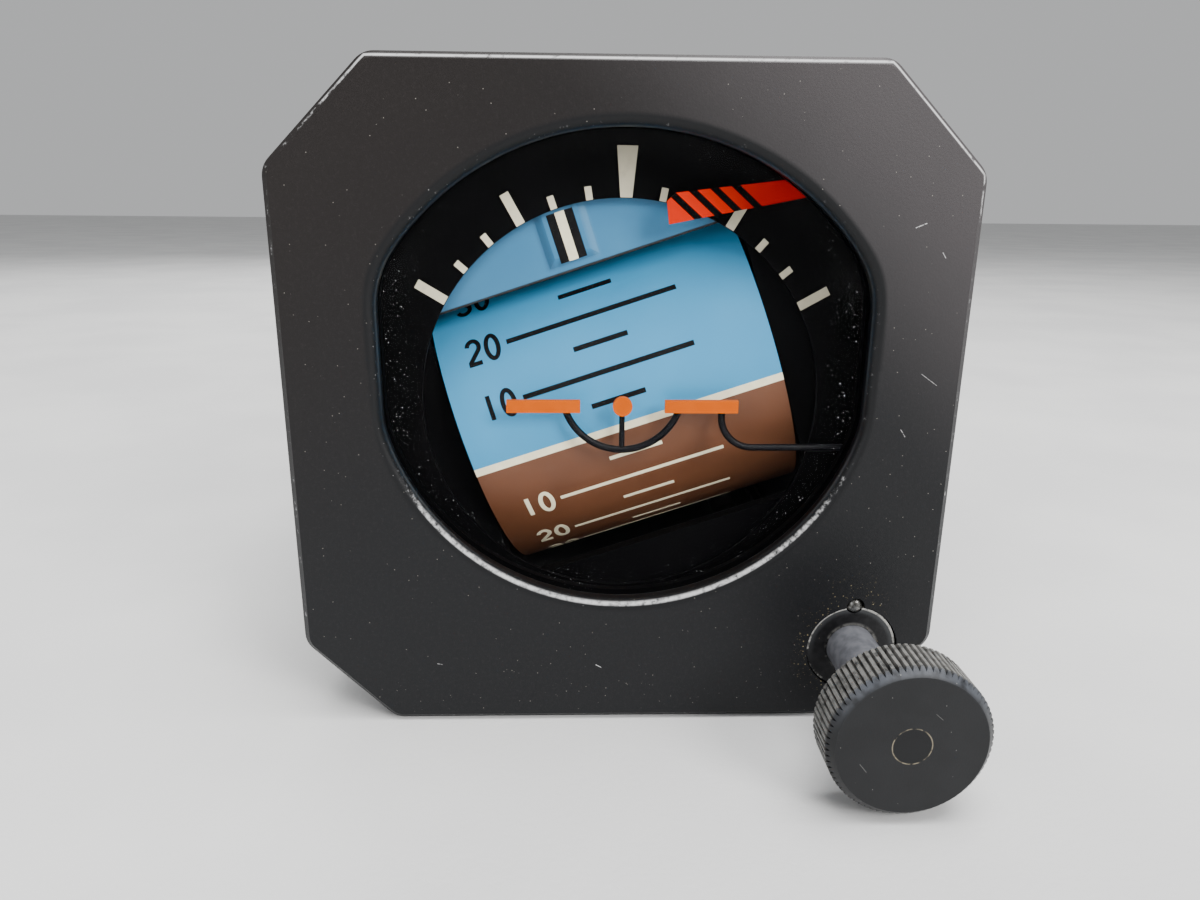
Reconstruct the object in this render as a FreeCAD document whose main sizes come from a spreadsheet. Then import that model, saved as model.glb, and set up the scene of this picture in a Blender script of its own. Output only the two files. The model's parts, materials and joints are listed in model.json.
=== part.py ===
import FreeCAD, Part
import math
import os
import Sketcher
from FreeCAD import Placement, Rotation, Vector

# Three-inch panel attitude indicator, in millimetres.
# X is to the pilot's right, Y goes into the panel and Z is up. The origin is on the roll axis, in the
# plane where the bezel's lip seats on the panel. The display stands rolled and pitched a little.

sizeTable = [
    # front
    ("bezelWidth", 82.8, "bezel, across and down"),
    ("bezelDepth", 11.0, "bezel, front face to panel seat"),
    ("bezelCut", 11.2, "bezel: lower corner cuts, along each side"),
    ("bezelCutTop", 12.1, "bezel: upper corner cuts"),
    ("bezelCorner", 3.0, "rounding where a cut meets a side"),
    ("bezelEdge", 0.8, "bevel round the front face"),
    ("windowSideInset", 4.3, "window: straight sides inside the upper arc's radius"),
    ("windowLowInset", 3.5, "window: lower arc's radius, less than the upper arc's"),
    ("windowRise", 6.3, "window: height of the lower arc's centre"),
    ("windowCorner", 12.0, "window: rounding where its sides meet its arcs"),
    ("windowEdge", 1.1, "window: rounding of the front edge"),
    ("windowWall", 2.2, "window: depth of the wall in front of the gasket"),
    ("gasketThick", 0.5, "gasket thickness"),
    ("glassThick", 1.8, "cover glass thickness"),
    ("glassMargin", 1.7, "glass beyond the window, all round"),
    ("glassGap", 0.4, "seat pocket beyond the glass"),
    ("retainerThick", 1.0, "glass retainer thickness"),
    ("cavityWall", 4.0, "rear hollow of the bezel: wall beside and above it"),
    ("cavityLip", 1.3, "land between the glass pocket and the hollow's wall"),
    ("cavityFloorWall", 12.4, "rear hollow of the bezel: wall below it"),
    ("cavityCutTop", 13.3, "rear hollow: upper corner cuts"),
    ("cavityCutLow", 14.4, "rear hollow: lower corner cuts"),
    ("plateGap", 0.15, "gap round a plate that drops into the hollow"),
    ("maskThick", 0.6, "roll scale mask thickness"),
    ("maskHole", 26.3, "roll scale mask: hole radius"),
    # miniature aircraft
    ("symbolGap", 0.7, "aircraft bars, behind the glass"),
    ("symbolHeight", 0.6, "aircraft bars, above the roll axis"),
    ("barLength", 9.4, "aircraft bar length"),
    ("barHeight", 1.6, "aircraft bar height"),
    ("barThick", 0.8, "aircraft bar thickness"),
    ("barInner", 5.45, "inner end of each bar, from the centre"),
    ("dotRadius", 1.25, "aircraft dot radius"),
    ("wireRadius", 0.46, "aircraft wire, half its diameter"),
    ("wireBow", 7.75, "radius of the wire's bow"),
    ("wireDrop", 5.4, "lowest point of the bow's centre line, below the axis"),
    ("wireArmX", 12.95, "where the side arm leaves the right bar"),
    ("wireBend", 4.2, "radius of the side arm's bend"),
    ("wireArmZ", 5.1, "side arm, below the axis"),
    ("wireLanding", 3.7, "end of the side arm, beyond the window's side"),
    # case
    ("caseInset", 1.1, "bezel beyond the case, all round"),
    ("caseSink", 0.4, "case and front frame, let into the bezel's rear"),
    ("sinkGap", 0.1, "that rebate beyond the case, all round"),
    ("spigotStep", 0.3, "case: its front end inside its own side faces"),
    ("caseCut", 11.0, "case corner cut"),
    ("caseWall", 1.6, "case wall"),
    ("rearBay", 79.0, "bearing carrier's front to the rear edge of the case"),
    ("caseCorner", 2.0, "case rounding at each bend"),
    ("caseGap", 0.2, "gap between the case and what it slides over"),
    ("coverThick", 2.4, "rear cover thickness"),
    ("coverRim", 6.0, "rear cover, depth of its rim"),
    ("coverWall", 1.6, "rear cover, wall of its rim"),
    ("frameThick", 5.0, "front frame thickness"),
    ("frameWall", 5.5, "front frame: wall beside its hole"),
    ("postRadius", 2.5, "frame post radius"),
    ("postInset", 4.2, "frame posts: axis from the frame's upper and lower edges"),
    ("postShift", 14.0, "frame posts: axis from the frame's sides"),
    ("carrierGap", 3.0, "gimbal's cross bar to the bearing carrier"),
    ("carrierThick", 4.0, "bearing carrier plate thickness"),
    ("hubWall", 3.5, "bearing carrier: hub wall round the bearings"),
    ("hubTail", 1.5, "bearing carrier: hub beyond the rear bearing"),
    ("boardSetback", 26.0, "circuit board's front, from the rear edge of the case"),
    ("boardThick", 1.6, "circuit board thickness"),
    # rolling parts
    ("rollAngle", 18.4, "roll of the display, right side up"),
    ("pitchAngle", 3.5, "pitch of the display, horizon low"),
    ("ringClear", 1.5, "roll ring: gap to the front frame's hole"),
    ("ringThick", 2.0, "roll ring thickness"),
    ("skyFront", 0.5, "sky plate, behind the panel seat"),
    ("skyThick", 0.6, "sky plate thickness"),
    ("skyChord", 18.3, "lower edge of the sky plate, above the axis"),
    ("skyLap", 0.7, "sky plate beyond the edge of the ring's opening"),
    ("skyInset", 1.5, "sky plate: its arc inside the ring's edge"),
    ("shieldChord", 20.6, "upper edge of the lower shield, below the axis"),
    ("drumSideGap", 0.5, "ring opening beyond the drum's ends"),
    ("padHalf", 3.35, "index pad, half width"),
    ("padLow", 19.4, "index pad, lower edge above the axis"),
    ("padHigh", 27.6, "index pad, upper edge above the axis"),
    ("padProud", 0.6, "index pad height"),
    ("padSlope", 1.0, "index pad: width of its sloping edges"),
    ("gearClear", 0.7, "gears to the arm beside them"),
    ("armThick", 2.5, "roll gimbal: arm thickness"),
    ("armHalf", 13.0, "roll gimbal: half height of each arm"),
    ("crossGap", 1.92, "cross bar behind the housing's sweep"),
    ("crossThick", 4.0, "roll gimbal: cross bar thickness"),
    ("shaftRadius", 4.0, "roll shaft radius"),
    ("shaftBore", 2.0, "roll shaft bore, for its wires"),
    ("shaftTail", 2.0, "roll shaft beyond the slip rings"),
    ("bearingRadius", 9.5, "roll bearing, outer radius"),
    ("bearingWidth", 6.0, "roll bearing width"),
    ("bearingGap", 0.3, "gap between a bearing's two rings"),
    ("bearingStep", 17.5, "roll bearings, distance between their fronts"),
    ("camGap", 1.5, "gap before and behind the caging cam"),
    ("camThick", 3.0, "caging cam thickness"),
    ("camRadius", 11.0, "caging cam, largest radius"),
    ("camNotch", 7.0, "caging cam, smallest radius"),
    ("slipLength", 14.0, "slip rings, length"),
    ("slipRadius", 6.5, "slip ring radius"),
    # drum
    ("drumRadius", 23.2, "pitch drum radius"),
    ("drumHalf", 21.35, "pitch drum, half width"),
    ("drumWall", 0.8, "pitch drum wall"),
    ("drumProud", 2.9, "pitch drum's front, in front of the panel seat"),
    ("drumHub", 4.0, "drum end hub radius"),
    ("axleRadius", 1.5, "drum axle and trunnion radius"),
    ("smallBearing", 4.0, "drum and pitch bearing, outer radius"),
    ("runningGap", 0.04, "radial running clearance of a shaft"),
    # gears
    ("gyroGap", 2.42, "drum to the swept housing of the gyro"),
    ("sectorTeeth", 62, "teeth on the full circle of the pitch sector"),
    ("idlerTeeth", 26, "teeth of each idler"),
    ("drumTeeth", 32, "teeth of the drum gear"),
    ("gearFace", 1.6, "gear face width"),
    ("drumGearGap", 0.65, "drum's end to the gears"),
    ("gearBacklash", 0.1, "backlash of each mesh"),
    ("idlerPin", 1.0, "idler pin radius"),
    # gyro
    ("gyroRadius", 19.5, "gyro housing radius"),
    ("gyroWall", 1.4, "gyro housing wall"),
    ("gyroShoulder", 10.5, "gyro housing, half height of its straight wall"),
    ("gyroTop", 22.5, "gyro housing, half height"),
    ("gyroCap", 8.0, "gyro housing, radius of each flat end"),
    ("rotorRadius", 16.4, "rotor radius"),
    ("rotorHalf", 8.5, "rotor, half height"),
    ("rotorWeb", 2.0, "rotor web thickness"),
    ("rotorShaft", 1.5, "rotor shaft radius"),
    ("statorRadius", 11.5, "motor stator radius"),
    # caging knob
    ("knobInsetX", 10.6, "knob axis, from the bezel's right side"),
    ("knobInsetZ", 10.2, "knob axis, from the bezel's lower side"),
    ("knobRadius", 9.4, "knob radius"),
    ("knobThick", 6.2, "knob thickness"),
    ("knobFront", 21.4, "knob face, in front of the bezel"),
    ("knobFlutes", 76, "flutes round the knob"),
    ("fluteDepth", 0.45, "flute depth"),
    ("knobBevel", 0.9, "bevel round the knob's face"),
    ("spigotRadius", 2.3, "shaft end that shows in the knob's face"),
    ("knobShaft", 3.2, "knob shaft radius"),
    ("bushingBore", 3.25, "bushing bore radius"),
    ("bushingRadius", 4.9, "bushing sleeve radius"),
    ("collarRadius", 5.9, "bushing collar radius"),
    ("collarSink", 0.5, "collar face, below the bezel's face"),
    ("collarThick", 1.2, "collar thickness"),
    ("pinRadius", 1.1, "index pin radius"),
    ("cageTravel", 6.5, "pull of the knob"),
    ("rodRadius", 1.6, "cage rod radius"),
    ("rodCollar", 3.0, "cage rod: radius of its collars"),
    ("rodNeck", 1.2, "cage rod: radius in the fork's groove"),
    ("rodGroove", 1.7, "cage rod: half width of the fork's groove"),
    ("springLength", 19.0, "return spring length at rest"),
    ("springRadius", 2.4, "return spring, coil radius"),
    ("springWire", 0.3, "return spring wire, half its diameter"),
    ("crankInset", 13.8, "crank pivot, from the rod towards the roll axis"),
    ("crankPin", 1.2, "crank pivot pin radius"),
    ("crankBoss", 3.2, "crank boss radius"),
    ("crankHalf", 2.5, "crank, half width"),
    ("crankTip", 2.0, "crank roller radius"),
    ("crankGap", 0.4, "caged crank roller to the cam's peak"),
    # flag
    ("flagInsetX", 7.6, "flag pivot, from the bezel's right side"),
    ("flagInsetZ", 14.6, "flag pivot, from the bezel's upper side"),
    ("flagFront", 4.0, "flag, in front of the panel seat"),
    ("flagThick", 0.4, "flag thickness"),
    ("flagHub", 2.4, "flag hub radius"),
    ("spindleRadius", 0.8, "flag spindle radius"),
    ("flagMotor", 3.9, "flag motor radius"),
    ("flagMotorLength", 18.0, "flag motor length"),
    # connector
    ("shellRadius", 11.0, "connector shell, outer radius"),
    ("shellBore", 9.4, "connector shell, bore radius"),
    ("shellLength", 15.0, "connector shell, from its flange"),
    ("shellDrop", 12.0, "connector axis, below the roll axis"),
    ("flangeHalf", 13.2, "connector flange, half width"),
    ("flangeThick", 2.0, "connector flange thickness"),
    ("contactRadius", 0.8, "connector contact radius"),
]

# ---------------------------------------------------------------- sizes

doc = FreeCAD.newDocument("attitudeIndicator")
sheet = doc.addObject("Spreadsheet::Sheet", "sizes")
for row, (alias, value, note) in enumerate(sizeTable, 1):
    sheet.set("A%d" % row, alias)
    sheet.set("B%d" % row, str(value))
    sheet.set("C%d" % row, note)
    sheet.setAlias("B%d" % row, alias)
doc.recompute()


class Dim:
    """A number that remembers the spreadsheet formula it came from."""

    def __init__(self, value, formula=None):
        self.value = float(value)
        self.formula = formula or repr(float(value))

    def __add__(self, other):
        other = asDim(other)
        return Dim(self.value + other.value, "(%s + %s)" % (self.formula, other.formula))

    def __sub__(self, other):
        other = asDim(other)
        return Dim(self.value - other.value, "(%s - %s)" % (self.formula, other.formula))

    def __mul__(self, other):
        other = asDim(other)
        return Dim(self.value * other.value, "(%s * %s)" % (self.formula, other.formula))

    def __truediv__(self, other):
        other = asDim(other)
        return Dim(self.value / other.value, "(%s / %s)" % (self.formula, other.formula))

    def __neg__(self):
        return Dim(-self.value, "(-1 * %s)" % self.formula)

    def __radd__(self, other):
        return asDim(other) + self

    def __rsub__(self, other):
        return asDim(other) - self

    def __rmul__(self, other):
        return asDim(other) * self

    def __float__(self):
        return self.value

    def __int__(self):
        return int(self.value)


def asDim(number):
    return number if isinstance(number, Dim) else Dim(number)


def root(number):
    """The square root of a Dim."""
    return Dim(math.sqrt(number.value), "sqrt(%s)" % number.formula)


class Sizes:
    """Every size in the sheet, by its alias."""

    def __getattr__(self, alias):
        return Dim(sheet.get(alias), "sizes." + alias)


z = Sizes()

bezelHalf = z.bezelWidth / 2
bezelFront = -z.bezelDepth
cavityHalf = bezelHalf - z.cavityWall
cavityFloor = bezelHalf - z.cavityFloorWall
windowTop = cavityHalf - z.cavityLip - z.glassGap - z.glassMargin
windowSide = windowTop - z.windowSideInset
windowBottom = windowTop - z.windowLowInset
glassFront = bezelFront + z.windowWall + z.gasketThick
retainerFront = glassFront + z.glassThick
retainerBack = retainerFront + z.retainerThick
symbolFront = retainerFront + z.symbolGap
frameFront = -z.caseSink
frameBack = frameFront + z.frameThick
maskFront = frameFront - z.maskThick
wireArmEnd = windowSide + z.wireLanding

cutShrink = 2 - math.sqrt(2)  # a corner cut gets this much shorter per millimetre of offset
caseHalf = bezelHalf - z.caseInset
caseWidth = caseHalf * 2
caseInnerHalf = caseHalf - z.caseWall
caseInnerCut = z.caseCut - z.caseWall * cutShrink
fitHalf = caseInnerHalf - z.caseGap
fitCut = caseInnerCut - z.caseGap * cutShrink
frameHole = fitHalf - z.frameWall
ringRadius = frameHole - z.ringClear

# the rolling stack, from the front to the rear
drumDepth = z.drumRadius - z.drumProud
gyroSwing = root(z.gyroCap * z.gyroCap + z.gyroTop * z.gyroTop)
gyroDepth = drumDepth + z.drumRadius + z.gyroGap + gyroSwing
gearModule = (gyroDepth - drumDepth) * 2 / (z.sectorTeeth + z.idlerTeeth * 4 + z.drumTeeth)
idlerRearDepth = gyroDepth - gearModule * (z.sectorTeeth + z.idlerTeeth) / 2
idlerFrontDepth = drumDepth + gearModule * (z.drumTeeth + z.idlerTeeth) / 2
gearRatio = z.sectorTeeth / z.drumTeeth
gearInner = z.drumHalf + z.drumGearGap
gimbalInner = gearInner + z.gearFace + z.gearClear
gimbalOuter = gimbalInner + z.armThick
windowHalf = z.drumHalf + z.drumSideGap
crossFront = gyroDepth + gyroSwing + z.crossGap
crossBack = crossFront + z.crossThick
carrierFront = crossBack + z.carrierGap
carrierBack = carrierFront + z.carrierThick
carrierHub = z.bearingRadius + z.hubWall
bearingRear = carrierFront + z.bearingStep
hubBack = bearingRear + z.bearingWidth + z.hubTail
camFront = hubBack + z.camGap
slipFront = camFront + z.camThick + z.camGap
slipBack = slipFront + z.slipLength
shaftEnd = slipBack + z.shaftTail
caseLength = carrierFront + z.rearBay
boardFront = caseLength - z.boardSetback
boardBack = boardFront + z.boardThick

knobX = bezelHalf - z.knobInsetX
knobZ = bezelHalf - z.knobInsetZ
knobFloor = -knobZ
knobFace = bezelFront - z.knobFront
knobBack = knobFace + z.knobThick
flagX = bezelHalf - z.flagInsetX
flagZ = bezelHalf - z.flagInsetZ
postX = fitHalf - z.postShift
postZ = fitHalf - z.postInset

# ---------------------------------------------------------------- placements

rolled = Placement(Vector(), Rotation(Vector(0, 1, 0), -float(z.rollAngle)))


def at(x=0, y=0, height=0):
    return Placement(Vector(float(x), float(y), float(height)), Rotation())


def alongX(x=0, y=0, height=0):
    """Turns a piece modelled about Y so that its axis lies along X."""
    return Placement(Vector(float(x), float(y), float(height)), Rotation(Vector(0, 0, 1), -90))


def pitched(depth, degrees):
    """Turns a piece about the lateral axis that lies at this depth."""
    centre = Vector(0, float(depth), 0)
    return Placement(Vector(), Rotation(Vector(1, 0, 0), degrees), centre)


gyroPose = rolled * pitched(gyroDepth, -float(z.pitchAngle))
drumPose = rolled * pitched(drumDepth, float(z.pitchAngle * gearRatio))

# ---------------------------------------------------------------- drawing helpers

pieces = {}


def bind(thing, path, number):
    """Ties a property or a sketch dimension to its formula."""
    thing.setExpression(path, asDim(number).formula)


def newBody(label):
    body = doc.addObject("PartDesign::Body", label)
    body.Label = label
    pieces[label] = body
    return body


def originPart(body, role):
    """One plane or axis of a body's own origin."""
    return [item for item in body.Origin.OriginFeatures if item.Role == role][0]


class Outline:
    """Closed loops in one sketch, held by dimensions from the sketch's origin."""

    def __init__(self, body, role, offset):
        self.sketch = body.newObject("Sketcher::SketchObject", body.Label + "Sketch")
        self.sketch.AttachmentSupport = [(originPart(body, role), "")]
        self.sketch.MapMode = "FlatFace"
        bind(self.sketch, "AttachmentOffset.Base.z", offset)

    def hold(self, kind, number, *where):
        index = self.sketch.addConstraint(Sketcher.Constraint(kind, *where, float(number)))
        if isinstance(number, Dim):
            bind(self.sketch, "Constraints[%d]" % index, number)

    def path(self, corners, arcs=None):
        """Joins the corners by lines, or by an arc where arcs gives its (radius, centre, turn)."""
        arcs = arcs or {}
        ends = []
        for index, corner in enumerate(corners):
            follower = corners[(index + 1) % len(corners)]
            start = Vector(float(corner[0]), float(corner[1]), 0)
            stop = Vector(float(follower[0]), float(follower[1]), 0)
            if index in arcs:
                radius, centre, turn = arcs[index]
                middle = Vector(float(centre[0]), float(centre[1]), 0)
                circle = Part.Circle(middle, Vector(0, 0, 1), float(radius))
                first, last = (start, stop) if turn > 0 else (stop, start)
                arc = Part.ArcOfCircle(circle, circle.parameter(first), circle.parameter(last))
                geometry = self.sketch.addGeometry(arc, False)
                self.hold("Radius", radius, geometry)
                ends.append((geometry, 1, 2) if turn > 0 else (geometry, 2, 1))
            else:
                geometry = self.sketch.addGeometry(Part.LineSegment(start, stop), False)
                ends.append((geometry, 1, 2))
            self.hold("DistanceX", corner[0], geometry, ends[-1][1])
            self.hold("DistanceY", corner[1], geometry, ends[-1][1])
        for (geometry, _, stop), (follower, start, _) in zip(ends, ends[1:] + ends[:1]):
            self.sketch.addConstraint(Sketcher.Constraint("Coincident", geometry, stop, follower, start))

    def circle(self, x, y, radius):
        circle = Part.Circle(Vector(float(x), float(y), 0), Vector(0, 0, 1), float(radius))
        geometry = self.sketch.addGeometry(circle, False)
        self.hold("Radius", radius, geometry)
        self.hold("DistanceX", x, geometry, 3)
        self.hold("DistanceY", y, geometry, 3)

    def box(self, x0, y0, x1, y1):
        self.path([(x0, y0), (x1, y0), (x1, y1), (x0, y1)])

    def octagon(self, half, cut):
        """A square with its corners cut."""
        self.cutBox(half, half, half, cut, cut)

    def cutBox(self, half, top, bottom, cutTop, cutLow):
        self.path([
            (half - cutLow, -bottom), (half, cutLow - bottom), (half, top - cutTop), (half - cutTop, top),
            (cutTop - half, top), (-half, top - cutTop), (-half, cutLow - bottom), (cutLow - half, -bottom),
        ])

    def window(self, margin):
        """The window's outline, this much larger all round."""
        side = windowSide + margin
        upper = windowTop + margin
        lower = windowBottom + margin
        corner = z.windowCorner + margin
        middle = side - corner  # the corners' centres
        shoulder = root((upper - corner) * (upper - corner) - middle * middle)
        drop = root((lower - corner) * (lower - corner) - middle * middle)
        waist = z.windowRise - drop
        high = upper / (upper - corner)
        low = lower / (lower - corner)
        topX = middle * high
        topZ = shoulder * high
        lowX = middle * low
        lowZ = z.windowRise - drop * low
        self.path(
            [(topX, topZ), (-topX, topZ), (-side, shoulder), (-side, waist),
             (-lowX, lowZ), (lowX, lowZ), (side, waist), (side, shoulder)],
            {0: (upper, (0, 0), 1), 1: (corner, (-middle, shoulder), 1), 3: (corner, (-middle, waist), 1),
             4: (lower, (0, z.windowRise), 1), 5: (corner, (middle, waist), 1),
             7: (corner, (middle, shoulder), 1)},
        )


def drawn(body, role, offset, draw):
    outline = Outline(body, role, offset)
    draw(outline)
    return outline.sketch


def feature(body, kind, sketch, **settings):
    item = body.newObject("PartDesign::" + kind, body.Label + kind)
    item.Profile = sketch
    for name, value in settings.items():
        if isinstance(value, Dim):
            bind(item, name, value)
        else:
            setattr(item, name, value)
    sketch.Visibility = False
    return item


def plate(body, front, back, draw):
    """Adds material between two depths."""
    sketch = drawn(body, "XZ_Plane", -asDim(front), draw)
    return feature(body, "Pad", sketch, Length=back - asDim(front), Reversed=True)


def cut(body, front, back, draw):
    """Takes material away between two depths."""
    sketch = drawn(body, "XZ_Plane", -asDim(front), draw)
    return feature(body, "Pocket", sketch, Length=back - asDim(front), Reversed=False)


def turned(body, corners, arcs=None):
    """Turns a profile of (radius, depth) corners about Y."""
    sketch = drawn(body, "XY_Plane", 0, lambda outline: outline.path(corners, arcs))
    return feature(body, "Revolution", sketch, ReferenceAxis=(sketch, ["V_Axis"]), Angle=360.0)


def ring(body, inner, outer, front, back):
    return turned(body, [(inner, front), (outer, front), (outer, back), (inner, back)])


def edges(item, test):
    """Names the edges of a feature whose two ends and middle all pass the test."""
    names = []
    for index, edge in enumerate(item.Shape.Edges, 1):
        first, last = edge.ParameterRange
        points = [edge.valueAt(first), edge.valueAt((first + last) / 2), edge.valueAt(last)]
        if all(test(point) for point in points):
            names.append("Edge%d" % index)
    return names


def dress(body, kind, size, test):
    """Rounds or bevels the edges that pass the test."""
    doc.recompute()
    base = body.Tip
    item = body.newObject("PartDesign::" + kind, body.Label + kind)
    item.Base = (base, edges(base, test))
    bind(item, "Radius" if kind == "Fillet" else "Size", size)
    return item


def solid(label, shape, placement=None):
    """A piece made from Part's own shapes."""
    item = doc.addObject("Part::Feature", label)
    item.Label = label
    item.Shape = shape
    item.Placement = placement or Placement()
    pieces[label] = item
    return item


def rod(radius, front, back, x=0, height=0):
    """A round bar along Y."""
    start = Vector(float(x), float(front), float(height))
    return Part.makeCylinder(float(radius), float(back) - float(front), start, Vector(0, 1, 0))


def onDepth(value):
    """Tests for points in one plane across Y."""
    return lambda point: abs(point.y - float(value)) < 1e-4


def holes(places, radius):
    """Draws a round hole at each of the places."""
    def draw(outline):
        for x, height in places:
            outline.circle(x, height, radius)
    return draw


def sideHoles(body, depth, radius):
    """Round holes through all four flat sides at one depth."""
    for role, turn in (("XY_Plane", False), ("YZ_Plane", True)):
        def draw(outline):
            outline.circle(*((depth, 0) if turn else (0, depth)), radius)
        sketch = drawn(body, role, 0, draw)
        feature(body, "Pocket", sketch, Length=caseWidth, Midplane=True)


def group(label, shapes, placement=None):
    """Several like solids in one piece."""
    return solid(label, Part.makeCompound(shapes), placement)


def screw(x, height, head, headRadius, headThick, shankRadius, length, way=1):
    """A pan head screw along Y; head is the face it bears on, way the side its shank goes to."""
    start = Vector(float(x), float(head), float(height))
    cap = Part.makeCylinder(headRadius, headThick, start, Vector(0, -way, 0))
    shank = Part.makeCylinder(shankRadius, length, start, Vector(0, way, 0))
    slotSize = 0.25 * headRadius
    slot = Part.makeBox(2 * headRadius, slotSize, slotSize)
    slot.translate(start + Vector(-headRadius, -way * headThick - slotSize / 2, -slotSize / 2))
    return cap.fuse(shank).cut(slot)


# ---------------------------------------------------------------- front

bezelScrew = 1.0
sideScrew = 1.0
sideHead = 1.9
sideHeadThick = 1.2
sideShank = 4.0
frontScrewDepth = frameFront + z.frameThick / 2 + 0.4
rearScrewDepth = caseLength - z.coverThick - 1.6
smallScrew = 0.7
smallHead = 1.3
smallHeadThick = 0.7
screwFit = 0.05  # radial clearance of a screw in its hole
spindleFit = 0.3  # the same of the flag's spindle in the plates it passes
threadDepth = 1.6  # how far the retainer's screws go into the bezel
threadBezel = 5.0  # the same of the bezel's own screws
postStud = 1.5  # radius of a rear post's stud in the carrier
postEnd = 1.4  # the same in the circuit board
cornerX = bezelHalf - 10.4
cornerZ = bezelHalf - 8.4
retainerX = cavityHalf - 2.6
retainerZ = cavityFloor - 2
maskX = cavityHalf - 2.2
postPlaces = [(postX * across, postZ * up) for across in (-1, 1) for up in (-1, 1)]
bezelScrewPlaces = [(-cornerX, cornerZ), (cornerX, cornerZ), (-cornerX, -cornerZ),
                    (cornerX - 14, -cornerZ - 1.5)]
retainerScrewPlaces = [(-retainerX, 24), (-retainerX, -10), (retainerX, 8), (retainerX, -10),
                       (-16, -retainerZ), (16, -retainerZ)]
flangeScrew = 1.0
flangeX = z.flangeHalf - 2.5
flangeScrewPlaces = [(flangeX * across, flangeX * up - z.shellDrop) for across in (-1, 1) for up in (-1, 1)]
maskScrewPlaces = [(-maskX, 14), (-maskX, -4), (maskX, 14), (maskX, -14)]


def bezel():
    body = newBody("bezel")
    plate(body, bezelFront, 0, lambda outline: outline.cutBox(
        bezelHalf, bezelHalf, bezelHalf, z.bezelCutTop, z.bezelCut))

    def corner(point):
        cornerSum = float(z.bezelWidth - (z.bezelCutTop if point.z > 0 else z.bezelCut))
        return abs(abs(point.x) + abs(point.z) - cornerSum) < 1e-3 and (
            abs(max(abs(point.x), abs(point.z)) - float(bezelHalf)) < 1e-3)

    dress(body, "Fillet", z.bezelCorner, corner)
    dress(body, "Chamfer", z.bezelEdge, onDepth(bezelFront))
    cut(body, bezelFront, 0, lambda outline: outline.window(0))
    reach = float(windowTop) + 0.1
    dress(body, "Fillet", z.windowEdge,
          lambda point: onDepth(bezelFront)(point) and math.hypot(point.x, point.z) < reach)
    cut(body, bezelFront + z.windowWall, 0, lambda outline: outline.window(z.glassMargin + z.glassGap))
    cut(body, retainerFront, 0, lambda outline: outline.cutBox(
        cavityHalf, cavityHalf, cavityFloor, z.cavityCutTop, z.cavityCutLow))
    cut(body, retainerFront, 0, holes([(flagX, flagZ)], z.flagHub + 1))
    cut(body, bezelFront, bezelFront + z.collarSink + z.collarThick,
        holes([(knobX, knobFloor)], z.collarRadius + z.plateGap))
    cut(body, bezelFront, 0, holes([(knobX, knobFloor)], z.bushingRadius))
    cut(body, bezelFront, bezelFront + 2 * z.collarThick,
        holes([(knobX, knobFloor + z.collarRadius + z.pinRadius / 4)], z.pinRadius + z.plateGap / 2))
    cut(body, frameFront, 0, lambda outline: outline.octagon(
        caseHalf + z.sinkGap, z.caseCut + z.sinkGap * cutShrink))
    cut(body, -threadBezel, 0, holes(bezelScrewPlaces, bezelScrew + screwFit))
    cut(body, retainerFront - threadDepth, 0, holes(retainerScrewPlaces, smallScrew + screwFit))


def window():
    gasketInset = 0.2
    gasket = newBody("window_gasket")
    plate(gasket, bezelFront + z.windowWall, glassFront, lambda outline: (
        outline.window(z.glassMargin), outline.window(gasketInset)))
    glass = newBody("cover_glass")
    plate(glass, glassFront, retainerFront, lambda outline: outline.window(z.glassMargin))
    retainer = newBody("glass_retainer")
    plate(retainer, retainerFront, retainerBack, lambda outline: (
        outline.cutBox(cavityHalf - z.plateGap, cavityHalf - z.plateGap, cavityFloor - z.plateGap,
                       z.cavityCutTop, z.cavityCutLow),
        outline.window(0.3)))
    cut(retainer, retainerFront, retainerBack, holes(retainerScrewPlaces, smallScrew + screwFit))


def mask():
    body = newBody("scale_mask")
    plate(body, maskFront, frameFront, lambda outline: (
        outline.cutBox(cavityHalf - z.plateGap, cavityHalf - z.plateGap, cavityFloor - z.plateGap,
                       z.cavityCutTop, z.cavityCutLow),
        outline.circle(0, 0, z.maskHole)))
    cut(body, maskFront, frameFront, holes([(flagX, flagZ)], z.spindleRadius + spindleFit))
    cut(body, maskFront, frameFront, holes(maskScrewPlaces, smallScrew + screwFit))
    group("window_screws",
          [screw(x, up, retainerBack, smallHead, smallHeadThick, smallScrew,
                 float(z.retainerThick) + threadDepth - 0.2, -1) for x, up in retainerScrewPlaces]
          + [screw(x, up, maskFront, smallHead, smallHeadThick, smallScrew,
                   float(z.maskThick + z.frameThick) - 2.2) for x, up in maskScrewPlaces])


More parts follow.
